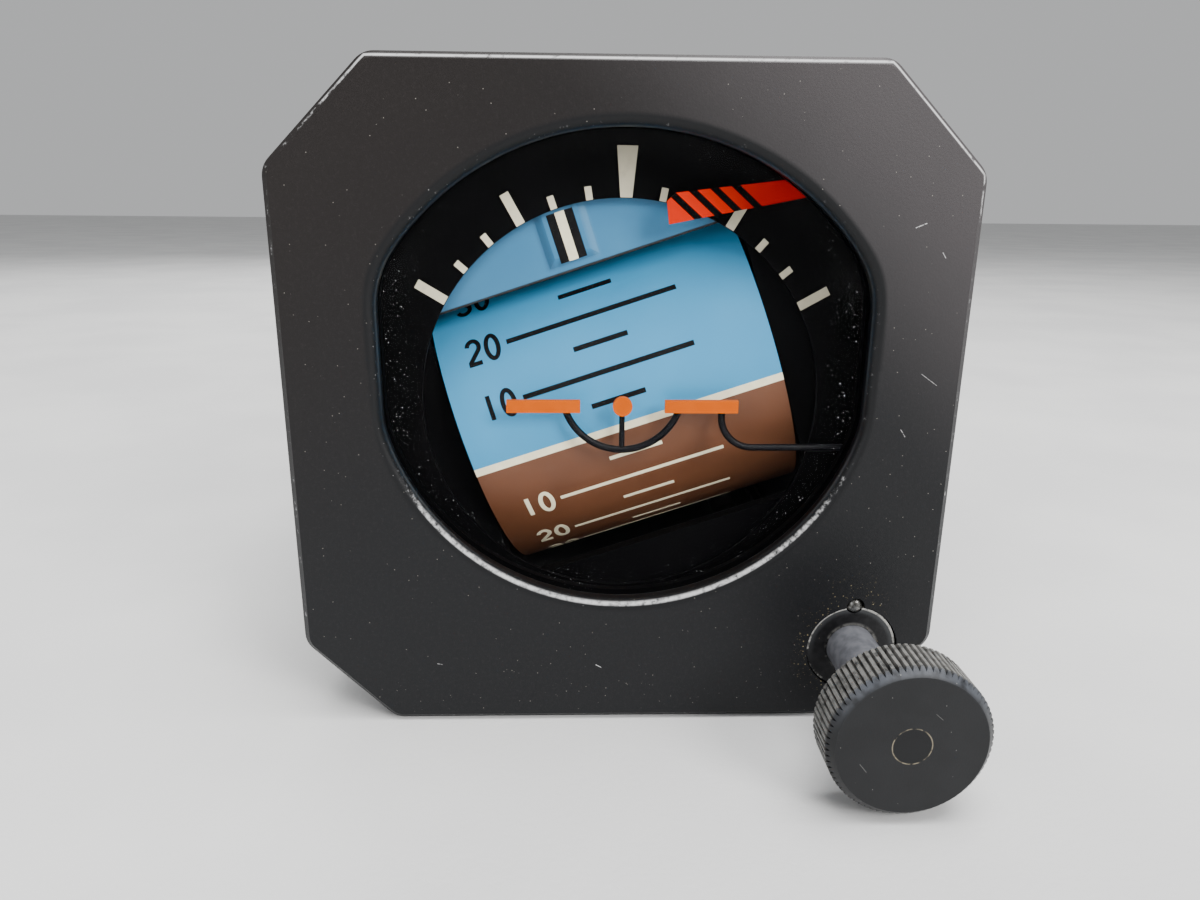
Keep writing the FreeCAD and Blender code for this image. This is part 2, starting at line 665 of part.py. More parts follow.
def symbol():
    """The fixed miniature aircraft: two bars and a dot on a bent wire."""
    barBack = symbolFront + z.barThick
    wireDepth = barBack + z.wireRadius
    bars = []
    for side in (-1, 1):
        low = float(z.barInner) if side > 0 else -float(z.barInner + z.barLength)
        bar = Part.makeBox(float(z.barLength), float(z.barThick), float(z.barHeight))
        bar.translate(Vector(low, float(symbolFront), float(z.symbolHeight - z.barHeight / 2)))
        bars.append(bar)
    bars.append(rod(z.dotRadius, symbolFront, barBack, 0, z.symbolHeight))
    group("symbol_bars", bars)

    radius = float(z.wireRadius)
    depth = float(wireDepth)
    bow = float(z.wireBow)
    drop = float(z.wireDrop)
    centre = bow - drop
    high = float(z.symbolHeight)
    reach = math.acos((centre - high) / bow)  # from straight down to where the bow meets the bars

    def bowPoint(angle):
        return Vector(bow * math.sin(angle), depth, centre - bow * math.cos(angle))

    bowWire = Part.Wire([Part.Arc(bowPoint(-reach), bowPoint(0), bowPoint(reach)).toShape()])
    armX, armZ, bend = float(z.wireArmX), -float(z.wireArmZ), float(z.wireBend)
    elbow = Vector(armX + bend, depth, armZ + bend)
    corner = elbow + Vector(-bend, 0, 0)
    foot = elbow + Vector(0, 0, -bend)
    middle = elbow + Vector(-bend, 0, -bend) * math.sqrt(0.5)
    end = Vector(float(wireArmEnd), depth, armZ)
    armWire = Part.Wire([
        Part.LineSegment(Vector(armX, depth, high), corner).toShape(),
        Part.Arc(corner, middle, foot).toShape(),
        Part.LineSegment(foot, end).toShape(),
    ])
    shapes = []
    for wire in (bowWire, armWire):
        start = wire.Edges[0].valueAt(wire.Edges[0].FirstParameter)
        tangent = wire.Edges[0].tangentAt(wire.Edges[0].FirstParameter)
        section = Part.Wire([Part.Circle(start, tangent, radius).toShape()])
        shapes.append(wire.makePipeShell([section], True, False))
    stem = Part.makeCylinder(radius * 0.8, high + drop, Vector(0, depth, -drop), Vector(0, 0, 1))
    footFront = depth - radius - 0.15
    post = Part.makeCylinder(1.3, float(maskFront) - footFront,
                             Vector(float(wireArmEnd), footFront, armZ), Vector(0, 1, 0))
    bowSolid = shapes[0].fuse(stem)
    armSolid = shapes[1].fuse(post)
    group("symbol_wire", [bowSolid, armSolid])


def frontFrame():
    body = newBody("front_frame")
    plate(body, frameFront, frameBack, lambda outline: (
        outline.octagon(fitHalf, fitCut), outline.circle(0, 0, frameHole)))
    cut(body, frameFront, frameBack, holes(bezelScrewPlaces, bezelScrew + screwFit))
    cut(body, frameFront, frameBack, holes([(knobX, knobFloor)], z.rodRadius + z.runningGap))
    cut(body, frameFront, frameBack, holes([(flagX, flagZ)], z.spindleRadius + spindleFit))
    sideHoles(body, frontScrewDepth, sideScrew + screwFit)
    cut(body, frameFront, frameBack, holes(maskScrewPlaces, smallScrew + screwFit))
    bezelScrewReach = float(z.frameThick - z.caseSink) + threadBezel - 1.5
    group("bezel_screws", [screw(x, up, frameBack, 1.8, 1.2, bezelScrew, bezelScrewReach, -1)
                           for x, up in bezelScrewPlaces])
    group("frame_posts", [rod(z.postRadius, frameBack, carrierFront, x, up) for x, up in postPlaces])


# ---------------------------------------------------------------- case and rear


def caseTube():
    body = newBody("case_tube")
    plate(body, frameFront, caseLength, lambda outline: (
        outline.octagon(caseHalf, z.caseCut), outline.octagon(caseInnerHalf, caseInnerCut)))
    outerSum = float(caseWidth - z.caseCut)

    def bend(point):
        return abs(abs(point.x) + abs(point.z) - outerSum) < 1e-3 and (
            abs(max(abs(point.x), abs(point.z)) - float(caseHalf)) < 1e-3)

    dress(body, "Fillet", z.caseCorner, bend)
    cut(body, frameFront, z.sinkGap, lambda outline: (
        outline.octagon(bezelHalf, z.bezelCut),
        outline.octagon(caseHalf - z.spigotStep, z.caseCut - z.spigotStep * cutShrink)))
    sideHoles(body, frontScrewDepth, sideHead + screwFit)
    sideHoles(body, rearScrewDepth, sideHead + screwFit)
    slotWide, slotDeep = 0.6, 0.5
    screws = []
    for depth in (frontScrewDepth, rearScrewDepth):
        for quarter in range(4):
            shank = Part.makeCylinder(sideScrew, sideShank, Vector(), Vector(0, 0, 1))
            head = Part.makeCylinder(sideHead, sideHeadThick, Vector(0, 0, sideShank), Vector(0, 0, 1))
            top = sideShank + sideHeadThick - slotDeep
            slot = Part.makeBox(2 * sideHead, slotWide, slotDeep, Vector(-sideHead, -slotWide / 2, top))
            one = shank.fuse(head).cut(slot)
            one.translate(Vector(0, float(depth), float(fitHalf) - sideShank))
            one.rotate(Vector(0, 0, 0), Vector(0, 1, 0), 90 * quarter)
            screws.append(one)
    screws += [screw(x, up, caseLength + z.flangeThick, 1.8, 1.2, flangeScrew,
                     float(z.flangeThick + z.coverThick), -1) for x, up in flangeScrewPlaces]
    group("case_screws", screws)


def rearCover():
    body = newBody("rear_cover")
    front = caseLength - z.coverRim
    inside = caseLength - z.coverThick
    plate(body, front, caseLength, lambda outline: outline.octagon(fitHalf, fitCut))
    cut(body, front, inside, lambda outline: outline.octagon(
        fitHalf - z.coverWall, fitCut - z.coverWall * cutShrink))
    cut(body, inside, caseLength, holes([(0, -z.shellDrop)], z.shellBore))
    cut(body, inside, caseLength, holes(flangeScrewPlaces, flangeScrew + screwFit))
    sideHoles(body, rearScrewDepth, sideScrew + screwFit)


def connector():
    flangeFront = caseLength
    flangeBack = flangeFront + z.flangeThick
    mouth = flangeFront + z.shellLength
    insertBack = flangeBack + 2
    axis = -z.shellDrop
    shell = newBody("connector_shell")
    plate(shell, flangeFront, flangeBack, lambda outline: (
        outline.box(-z.flangeHalf, axis - z.flangeHalf, z.flangeHalf, axis + z.flangeHalf),
        outline.circle(0, axis, z.shellBore)))
    cut(shell, flangeFront, flangeBack, holes(flangeScrewPlaces, flangeScrew + screwFit))
    plate(shell, flangeBack, mouth, lambda outline: (
        outline.circle(0, axis, z.shellRadius), outline.circle(0, axis, z.shellBore)))
    insert = newBody("connector_insert")
    plate(insert, flangeFront - z.coverRim, insertBack, lambda outline: outline.circle(0, axis, z.shellBore))
    contacts = []
    for count, radius in ((9, 6.4), (4, 2.9)):
        contacts += [(radius * math.cos(2 * math.pi * index / count),
                      float(axis) + radius * math.sin(2 * math.pi * index / count)) for index in range(count)]
    cut(insert, flangeFront - z.coverRim, insertBack, holes(contacts, z.contactRadius))
    group("connector_pins", [rod(z.contactRadius, flangeFront - z.coverRim - 2, insertBack + 6, x, up)
                             for x, up in contacts])


# ---------------------------------------------------------------- bearing carrier and electrics

cageTurn = math.degrees(math.atan2(float(knobZ), float(knobX)))
cageReach = math.hypot(float(knobX), float(knobZ))  # knob axis from the roll axis
crankPivot = cageReach - float(z.crankInset)
crankDepth = float(slipBack) - 1
bracketWall = 2.0
bracketGap = 0.2


def cageFrame():
    """A placement whose X points from the roll axis to the knob axis."""
    return Placement(Vector(), Rotation(Vector(0, 1, 0), cageTurn))


def bearingCarrier():
    body = newBody("bearing_carrier")
    shoulder = z.bearingRadius - 1.9
    seat = carrierFront + z.bearingWidth
    plate(body, carrierFront, carrierBack, lambda outline: (
        outline.octagon(fitHalf, fitCut), outline.circle(0, 0, z.bearingRadius)))
    turned(body, [
        (z.bearingRadius, carrierFront), (carrierHub, carrierFront), (carrierHub, hubBack),
        (z.bearingRadius, hubBack), (z.bearingRadius, bearingRear), (shoulder, bearingRear),
        (shoulder, seat), (z.bearingRadius, seat),
    ])
    cut(body, carrierFront, carrierBack, holes(postPlaces, postStud))
    cut(body, carrierFront, carrierBack, holes([(knobX, knobFloor)], z.rodRadius + z.runningGap))
    openingRadius = (fitHalf - carrierHub) / 2 - 5.75
    middle = (fitHalf + carrierHub) / 2 - 0.75
    openings = [(middle * math.cos(math.radians(angle)), middle * math.sin(math.radians(angle)))
                for angle in (0, 60, 120, 180, 240)]
    cut(body, carrierFront, carrierBack, holes(openings, openingRadius))

    back = float(carrierBack)
    half = float(z.crankHalf) + bracketGap
    pin = float(z.crankPin)
    width = 8.0
    up = Vector(0, 0, 1)
    walls = []
    for low in (half, -half - bracketWall):
        wall = Part.makeBox(width, crankDepth + width / 2 - back, bracketWall,
                            Vector(crankPivot - width / 2, back, low))
        hole = Part.makeCylinder(pin, bracketWall, Vector(crankPivot, crankDepth, low), up)
        walls.append(wall.cut(hole))
    foot = Part.makeBox(width, 1.5, 2 * half, Vector(crankPivot - width / 2, back, -half))
    rivetFoot = Vector(crankPivot, crankDepth, -half - bracketWall)
    rivet = Part.makeCylinder(pin, 2 * (half + bracketWall), rivetFoot, up)
    group("crank_bracket", [walls[0].fuse([walls[1], foot]), rivet], cageFrame())

    posts = []
    for x, height in postPlaces:
        stud = rod(postStud, carrierFront, carrierBack, x, height)
        post = rod(z.postRadius, carrierBack, boardFront, x, height)
        end = rod(postEnd, boardFront, boardBack, x, height)
        nut = rod(z.postRadius, boardBack, boardBack + 1.6, x, height)
        posts.append(stud.fuse([post, end, nut]))
    group("rear_posts", posts)


def rollBearings():
    middle = (z.shaftRadius + z.bearingRadius) / 2
    outerRings = []
    innerRings = []
    for front in (carrierFront, bearingRear):
        back = front + z.bearingWidth
        outerRings.append(rod(z.bearingRadius, front, back).cut(rod(middle + z.bearingGap / 2, front, back)))
        innerRings.append(rod(middle - z.bearingGap / 2, front, back).cut(rod(z.shaftRadius, front, back)))
    group("roll_bearing_outer", outerRings)
    group("roll_bearing_inner", innerRings, rolled)


slipCount = 7
slipPitch = z.slipLength / slipCount


def electrics():
    board = newBody("circuit_board")
    boardGap = 0.5
    plate(board, boardFront, boardBack, lambda outline: outline.octagon(
        fitHalf - boardGap, fitCut - boardGap * cutShrink))
    cut(board, boardFront, boardBack, holes(postPlaces, postEnd))
    back = float(boardBack)
    core = Part.makeBox(26, 14, 22, Vector(-13, back, 4))
    opening = Part.makeBox(12, 14, 14, Vector(-6, back, 8))
    coil = Part.makeBox(11.6, 14, 13.6, Vector(-5.8, back, 8.2))
    group("transformer", [core.cut(opening), coil])
    group("capacitors", [rod(radius, back, back + length, x, height) for radius, length, x, height in (
        (5.0, 16, -22, -8), (5.0, 16, -22, -20), (4.0, 12, 22, -8), (4.0, 12, 24, 14))])

    near = float(carrierHub) + 0.5
    start = float(carrierBack)
    wide = 16.0
    foot = Part.makeBox(wide, 2.5, 10, Vector(-wide / 2, start, near))
    arm = Part.makeBox(wide, float(slipBack) - start, 3.5, Vector(-wide / 2, start, near + 2))
    solid("brush_block", foot.fuse(arm))
    brushRadius = 0.2
    low = -2.5
    brushes = []
    for index in range(slipCount):
        depth = float(slipFront + slipPitch * (index + 0.5))
        for side in (-1, 1):
            touch = Vector(side * (float(z.slipRadius) + brushRadius), depth, low)
            brushes.append(Part.makeCylinder(brushRadius, near + 2 - low, touch, Vector(0, 0, 1)))
    group("brushes", brushes)


# ---------------------------------------------------------------- rolling parts

def onRoll(label):
    pieces[label].Placement = rolled


def sidePlate(body, inner, outer, draw):
    """Adds material between two distances along X, from a sketch of (depth, height)."""
    sketch = drawn(body, "YZ_Plane", inner, draw)
    return feature(body, "Pad", sketch, Length=asDim(outer) - inner)


def sideCut(body, draw):
    """Cuts right through along X."""
    sketch = drawn(body, "YZ_Plane", 0, draw)
    return feature(body, "Pocket", sketch, Length=caseWidth, Midplane=True)


def rollGimbal():
    ringBack = z.skyFront + z.skyThick + z.ringThick
    body = newBody("roll_gimbal")
    plate(body, crossFront, crossBack, lambda outline: (
        outline.box(-gimbalOuter, -z.armHalf, gimbalOuter, z.armHalf), outline.circle(0, 0, z.shaftRadius)))

    def arm(outline):
        outline.box(ringBack, -z.armHalf, crossBack, z.armHalf)

    sidePlate(body, gimbalInner, gimbalOuter, arm)
    sidePlate(body, -gimbalOuter, -gimbalInner, arm)
    between = (crossFront + gyroDepth + z.smallBearing) / 2
    sideCut(body, lambda outline: (
        outline.circle(drumDepth, 0, z.smallBearing), outline.circle(gyroDepth, 0, z.smallBearing),
        outline.circle(between, 0, z.armHalf / 2),
        outline.circle((gyroDepth + idlerRearDepth) / 2 - 0.7, 0, z.armHalf / 4)))
    step = 0.1  # the boss and the pin each stand this far off the gear's faces
    for inner, radius in ((gearInner + z.gearFace + step, 2 * z.idlerPin), (gearInner - step, z.idlerPin)):
        sidePlate(body, inner, gimbalInner, lambda outline: (
            outline.circle(idlerFrontDepth, 0, radius), outline.circle(idlerRearDepth, 0, radius)))
    onRoll("roll_gimbal")

    ringBody = newBody("roll_ring")
    plate(ringBody, z.skyFront + z.skyThick, ringBack, lambda outline: (
        outline.circle(0, 0, ringRadius),
        outline.box(-windowHalf, -z.shieldChord, windowHalf, z.skyChord + z.skyLap)))
    onRoll("roll_ring")

    sky = newBody("sky_plate")
    skyRadius = ringRadius - z.skyInset
    reach = root(skyRadius * skyRadius - z.skyChord * z.skyChord)
    plate(sky, z.skyFront, z.skyFront + z.skyThick, lambda outline: outline.path(
        [(-reach, z.skyChord), (reach, z.skyChord)], {1: (skyRadius, (0, 0), 1)}))
    plate(sky, z.skyFront - z.padProud, z.skyFront, lambda outline: outline.box(
        -z.padHalf, z.padLow, z.padHalf, z.padHigh))
    slope = dress(sky, "Chamfer", z.padProud * 0.9, onDepth(z.skyFront - z.padProud))
    slope.ChamferType = "Two distances"
    bind(slope, "Size2", z.padSlope)
    onRoll("sky_plate")

    flange = z.shaftRadius + 5
    neck = z.shaftRadius + 1.2
    flangeBack = crossBack + z.carrierGap * 0.55
    shaft = newBody("roll_shaft")
    turned(shaft, [
        (z.shaftBore, crossFront), (z.shaftRadius, crossFront), (z.shaftRadius, crossBack),
        (flange, crossBack), (flange, flangeBack), (neck, flangeBack), (neck, carrierFront),
        (z.shaftRadius, carrierFront), (z.shaftRadius, shaftEnd), (z.shaftBore, shaftEnd),
    ])
    onRoll("roll_shaft")


def cageCam():
    """A heart cam: its radius grows evenly from the notch, both ways round."""
    notch = float(z.camNotch)
    peak = float(z.camRadius)
    steps = 12
    halves = []
    for side in (-1, 1):
        points = []
        for index in range(steps + 1):
            share = index / steps
            angle = side * math.pi * share
            radius = notch + (peak - notch) * share
            points.append(Vector(radius * math.sin(angle), float(camFront), -radius * math.cos(angle)))
        curve = Part.BSplineCurve()
        curve.interpolate(points)
        halves.append(curve.toShape())
    face = Part.Face(Part.Wire(Part.__sortEdges__(halves)))
    cam = face.extrude(Vector(0, float(z.camThick), 0))
    boss = rod(z.shaftRadius + 1.2, bearingRear + z.bearingWidth, camFront)
    bore = rod(z.shaftRadius, bearingRear, slipFront)
    solid("cage_cam", cam.fuse(boss).cut(bore), rolled)


def slipRings():
    body = newBody("slip_rings")
    ridge = z.slipRadius + 0.7
    half = 0.3
    corners = [(z.shaftRadius, slipFront)]
    for index in range(slipCount):
        start = slipFront + slipPitch * index
        corners += [(ridge, start), (ridge, start + half), (z.slipRadius, start + half),
                    (z.slipRadius, start + slipPitch - half), (ridge, start + slipPitch - half)]
    corners += [(ridge, slipBack), (z.shaftRadius, slipBack)]
    turned(body, corners)
    onRoll("slip_rings")


def armBearings(label, depth):
    """A bearing in each arm of the roll gimbal."""
    shapes = []
    for side in (-1, 1):
        start = Vector(side * float(gimbalInner), float(depth), 0)
        way = Vector(side, 0, 0)
        outer = Part.makeCylinder(float(z.smallBearing), float(z.armThick), start, way)
        shapes.append(outer.cut(Part.makeCylinder(float(z.axleRadius + z.runningGap), float(z.armThick),
                                                  start, way)))
    group(label, shapes, rolled)


# ---------------------------------------------------------------- gears

def gearOutline(teeth, first, last, toothAt, rootRadius=None):
    """The outline of a spur gear as points of (depth, height) about its centre.

    toothAt is the angle of one tooth's middle, and teeth first to last are cut; where they don't
    close the circle, the outline goes round the back at rootRadius.
    """
    module = float(gearModule)
    pressure = math.radians(20)
    pitchRadius = module * teeth / 2
    base = pitchRadius * math.cos(pressure)
    tip = pitchRadius + module
    root_ = pitchRadius - 1.25 * module
    half = math.pi / (2 * teeth) - float(z.gearBacklash) / (4 * pitchRadius)

    def involute(angle):
        return math.tan(angle) - angle

    def halfAngle(radius):
        if radius <= base:
            return half + involute(pressure)
        return half + involute(pressure) - involute(math.acos(base / radius))

    flank = [root_, max(base, root_ + 0.1 * module), pitchRadius, tip - 0.1 * module]
    points = []
    for index in range(first, last + 1):
        middle = toothAt + 2 * math.pi * index / teeth
        for radius in flank:
            points.append((radius, middle - halfAngle(radius)))
        for radius in reversed(flank):
            points.append((radius, middle + halfAngle(radius)))
    if last - first + 1 < teeth:
        begin = points[-1][1]
        span = 2 * math.pi - (begin - points[0][1])
        points += [(rootRadius, begin + span * step / 10) for step in range(11)]
    return [(radius * math.cos(angle), radius * math.sin(angle)) for radius, angle in points]


def gear(label, outline, depth, bore, placement):
    """Extrudes an outline along X between the gear faces."""
    front = float(gearInner)
    corners = [Vector(front, float(depth) + along, up) for along, up in outline]
    face = Part.Face(Part.makePolygon(corners + corners[:1]))
    blank = face.extrude(Vector(float(z.gearFace), 0, 0))
    hole = Part.makeCylinder(float(bore), float(z.gearFace), Vector(front, float(depth), 0), Vector(1, 0, 0))
    solid(label, blank.cut(hole), placement)


def gears():
    """The train that turns the drum the other way from the gyro and faster.

    All centres lie on one line. Towards it a gear has either a tooth or a gap, so that the meshes fit.
    """
    idlerStep = math.pi / int(z.idlerTeeth)
    sectorStep = math.pi / int(z.sectorTeeth)
    drumTeeth, idlerTeeth, sectorTeeth = int(z.drumTeeth), int(z.idlerTeeth), int(z.sectorTeeth)
    pinBore = z.idlerPin + z.runningGap
    # drum gear: a tooth towards +Y
    gear("drum_gear", gearOutline(drumTeeth, 0, drumTeeth - 1, 0), drumDepth, z.axleRadius, rolled)
    # front idler: a gap towards -Y; the rear idler meets it with a tooth where it has a gap
    frontTooth = math.pi + idlerStep
    gear("idler_gear_front", gearOutline(idlerTeeth, 0, idlerTeeth - 1, frontTooth), idlerFrontDepth,
         pinBore, rolled)
    gapAhead = (round((0 - frontTooth) / idlerStep) % 2) != 0
    rearTooth = math.pi if gapAhead else math.pi + idlerStep
    gear("idler_gear_rear", gearOutline(idlerTeeth, 0, idlerTeeth - 1, rearTooth), idlerRearDepth,
         pinBore, rolled)
    toothAhead = (round((0 - rearTooth) / idlerStep) % 2) == 0
    sectorTooth = math.pi + (sectorStep if toothAhead else 0)
    reach = int(102 / (360 / sectorTeeth))
    gear("pitch_sector", gearOutline(sectorTeeth, -reach, reach, sectorTooth, 7.0), gyroDepth,
         z.axleRadius, rolled)


# ---------------------------------------------------------------- drum

def drum():
    body = newBody("pitch_drum")
    ring(body, z.drumRadius - z.drumWall, z.drumRadius, -z.drumHalf, z.drumHalf)
    body.Placement = drumPose * alongX(0, drumDepth)
    endInner = z.drumHalf - 1
    end = doc.addObject("PartDesign::Body", "drumEnd")
    turned(end, [
        (z.axleRadius, endInner - 2), (z.drumHub, endInner - 2), (z.drumHub, endInner),
        (z.drumRadius - z.drumWall, endInner), (z.drumRadius - z.drumWall, z.drumHalf),
        (z.drumHub, z.drumHalf), (z.drumHub, gearInner), (z.axleRadius, gearInner),
    ])
    hole = cut(end, endInner, z.drumHalf, holes([(13.2, 0)], 4.6))
    pattern = end.newObject("PartDesign::PolarPattern", "drumEndPattern")
    pattern.Originals = [hole]
    pattern.Axis = (originPart(end, "Y_Axis"), [""])
    pattern.Angle = 360
    pattern.Occurrences = 6
    end.Tip = pattern
    doc.recompute()
    shapes = []
    for turn in (0, 180):
        one = end.Shape.copy()
        one.Placement = alongX() * Placement(Vector(), Rotation(Vector(0, 0, 1), turn))
        shapes.append(one)
    group("drum_ends", shapes, drumPose * at(0, drumDepth))
    axle = newBody("drum_axle")
    turned(axle, [(0, -gimbalOuter), (z.axleRadius, -gimbalOuter), (z.axleRadius, gimbalOuter),
                  (0, gimbalOuter)])
    axle.Placement = drumPose * alongX(0, drumDepth)


# ---------------------------------------------------------------- gyro

def gyro():
    wall = z.gyroWall
    seat = 16.5
    bearing = 3.5
    cone = (z.gyroRadius - 3.7, z.gyroShoulder + 7)
    for label, turn in (("gyro_housing_upper", 90), ("gyro_housing_lower", -90)):
        body = newBody(label)
        turned(body, [
            (z.gyroRadius, 0), (z.gyroRadius, z.gyroShoulder), cone, (z.gyroCap, z.gyroTop),
            (0, z.gyroTop), (0, z.gyroTop - 1.7), (bearing, z.gyroTop - 1.7), (bearing, seat),
            (6, seat), (6, z.gyroTop - 2.6), (cone[0] - 1.1, cone[1] - 1.2),
            (z.gyroRadius - wall, z.gyroShoulder - 0.6), (z.gyroRadius - wall, 0),
        ])
        body.Placement = gyroPose * Placement(Vector(0, float(gyroDepth), 0), Rotation(Vector(1, 0, 0), turn))

    trunnions = []
    drumOfHousing = Part.makeCylinder(float(z.gyroRadius), 20, Vector(0, 0, -10), Vector(0, 0, 1))
    for side in (-1, 1):
        way = Vector(side, 0, 0)
        base = Part.makeCylinder(4.5, float(gearInner) - 17, Vector(17 * side, 0, 0), way)
        stub = Part.makeCylinder(float(z.axleRadius), float(gimbalOuter) - 17, Vector(17 * side, 0, 0), way)
        trunnions.append(base.fuse(stub).cut(drumOfHousing))
    group("pitch_trunnions", trunnions, gyroPose * at(0, gyroDepth))

    upright = gyroPose * Placement(Vector(0, float(gyroDepth), 0), Rotation(Vector(1, 0, 0), 90))
    half = z.rotorHalf
    rimInner = z.statorRadius + 1
    rotor = newBody("gyro_rotor")
    turned(rotor, [
        (z.rotorShaft, half - z.rotorWeb), (rimInner, half - z.rotorWeb), (rimInner, -half),
        (z.rotorRadius, -half), (z.rotorRadius, half), (4, half), (4, half + 2.5), (z.rotorShaft, half + 2.5),
    ])
    rotor.Placement = upright
    shaft = newBody("rotor_shaft")
    turned(shaft, [(0, -20.5), (z.rotorShaft, -20.5), (z.rotorShaft, 20.5), (0, 20.5)])
    shaft.Placement = upright
    stator = newBody("motor_stator")
    turned(stator, [
        (2.2, -seat), (5, -seat), (5, -half), (z.statorRadius, -half),
        (z.statorRadius, half - z.rotorWeb - 1), (2.2, half - z.rotorWeb - 1),
    ])
    stator.Placement = upright
    rings = []
    for low in (-20.0, 17.0):
        outer = rod(bearing, low, low + 3)
        rings.append(outer.cut(rod(z.rotorShaft + z.runningGap, low, low + 3)))
    group("rotor_bearings", rings, upright)


# ---------------------------------------------------------------- caging knob and crank

def knob():
    here = at(knobX, 0, knobFloor)
    collarFront = bezelFront + z.collarSink
    bushing = newBody("cage_bushing")
    turned(bushing, [
        (z.bushingBore, collarFront), (z.collarRadius, collarFront),
        (z.collarRadius, collarFront + z.collarThick), (z.bushingRadius, collarFront + z.collarThick),
        (z.bushingRadius, frameFront), (z.bushingBore, frameFront),
    ])
    notchRadius = z.pinRadius + z.plateGap / 2
    cut(bushing, collarFront, collarFront + z.collarThick,
        holes([(0, z.collarRadius + z.pinRadius / 4)], notchRadius))
    bushing.Placement = here
    pin = newBody("index_pin")
    plate(pin, bezelFront, bezelFront + 2 * z.collarThick, lambda outline: outline.circle(0, 0, z.pinRadius))
    dress(pin, "Fillet", z.pinRadius * 0.9, onDepth(bezelFront))
    pin.Placement = at(knobX, 0, knobFloor + z.collarRadius + z.pinRadius / 4)

    cap = newBody("cage_knob")
    turned(cap, [
        (z.spigotRadius, knobFace), (z.knobRadius - z.knobBevel, knobFace),
        (z.knobRadius, knobFace + z.knobBevel), (z.knobRadius, knobBack - z.knobBevel / 2),
        (z.knobRadius - z.knobBevel / 2, knobBack), (z.spigotRadius, knobBack),
    ])
    wide = float(z.knobRadius) * math.pi / int(z.knobFlutes) * 0.8
    flute = cut(cap, knobFace, knobBack, lambda outline: outline.path([
        (z.knobRadius - z.fluteDepth, 0), (z.knobRadius + 0.2, -wide), (z.knobRadius + 0.2, wide)]))
    pattern = cap.newObject("PartDesign::PolarPattern", "knobFlutePattern")
    pattern.Originals = [flute]
    pattern.Axis = (originPart(cap, "Y_Axis"), [""])
    pattern.Angle = 360
    bind(pattern, "Occurrences", z.knobFlutes)
    cap.Tip = pattern
    cap.Placement = here

    shaftBack = frameFront - 1.1
    swivelDeep = 5.5  # how far the cage rod reaches into the hollow shaft
    swivel = z.rodRadius + z.runningGap
    shaft = newBody("cage_shaft")
    turned(shaft, [
        (0, knobFace), (z.spigotRadius, knobFace), (z.spigotRadius, knobBack), (z.knobShaft, knobBack),
        (z.knobShaft, shaftBack), (swivel, shaftBack), (swivel, shaftBack - swivelDeep - 0.5),
        (0, shaftBack - swivelDeep - 0.5),
    ])
    shaft.Placement = here

    springBack = frameBack + z.springLength
    middle = crankDepth + z.cageTravel / 2
    flangeThick = 1.2
    rodBody = newBody("cage_rod")
    turned(rodBody, [
        (0, shaftBack - swivelDeep), (z.rodRadius, shaftBack - swivelDeep), (z.rodRadius, springBack),
        (z.rodCollar, springBack), (z.rodCollar, springBack + flangeThick),
        (z.rodRadius, springBack + flangeThick), (z.rodRadius, middle - z.rodGroove - flangeThick),
        (z.rodCollar, middle - z.rodGroove - flangeThick), (z.rodCollar, middle - z.rodGroove),
        (z.rodNeck, middle - z.rodGroove), (z.rodNeck, middle + z.rodGroove),
        (z.rodCollar, middle + z.rodGroove), (z.rodCollar, middle + z.rodGroove + flangeThick),
        (0, middle + z.rodGroove + flangeThick),
    ])
    rodBody.Placement = here
    wire = float(z.springWire)
    turns = 7
    length = float(z.springLength) - 2 * wire
    radius = float(z.springRadius)
    helix = Part.makeHelix(length / turns, length, radius)
    section = Part.Wire([Part.Circle(Vector(radius, 0, 0), Vector(0, 1, 0), wire).toShape()])
    spring = Part.Wire(helix.Edges).makePipeShell([section], True, True)
    spring.Placement = Placement(Vector(0, float(frameBack) + wire, 0), Rotation(Vector(1, 0, 0), -90))
    group("cage_spring", [spring], here)


def crank():
    """The bell crank that the rod swings in beside the cam; drawn caged, then swung back to rest."""
    reach = float(z.crankInset)
    half = float(z.crankHalf)
    swing = math.degrees(math.asin(float(z.cageTravel) / 2 / reach))
    thick = 2 * half
    up = Vector(0, 0, 1)

    def bar(x, y, width):
        way = Vector(x, y, 0)
        box = Part.makeBox(way.Length, 2 * width, thick, Vector(0, -width, -half))
        box.rotate(Vector(), up, math.degrees(math.atan2(y, x)))
        return box

    def disc(x, y, radius):
        return Part.makeCylinder(radius, thick, Vector(x, y, -half), up)

    tip = float(z.crankTip)
    tipX = float(z.camRadius) + tip + float(z.crankGap) - crankPivot
    tipY = float(camFront + z.camThick / 2) - crankDepth
    # the fork is drawn level, for the middle of the stroke; the leg for its end
    end = reach + 0.6
    forkHalf = float(z.rodGroove) - 1
    fork = bar(end, 0, forkHalf).fuse(disc(end, 0, forkHalf))
    slotHalf = float(z.rodNeck) + 0.3
    slot = Part.makeBox(6, 2 * half, 2 * slotHalf, Vector(reach - 2.2, -half, -slotHalf))
    leg = bar(tipX, tipY, 1.5).fuse(disc(tipX, tipY, tip))
    leg.rotate(Vector(), up, swing)
    shape = disc(0, 0, float(z.crankBoss)).fuse([fork.cut(slot), leg])
    shape = shape.cut(disc(0, 0, float(z.crankPin + z.runningGap)))
    pose = cageFrame() * Placement(Vector(crankPivot, crankDepth, 0), Rotation(up, swing))
    solid("cage_crank", shape, pose)


# ---------------------------------------------------------------- flag

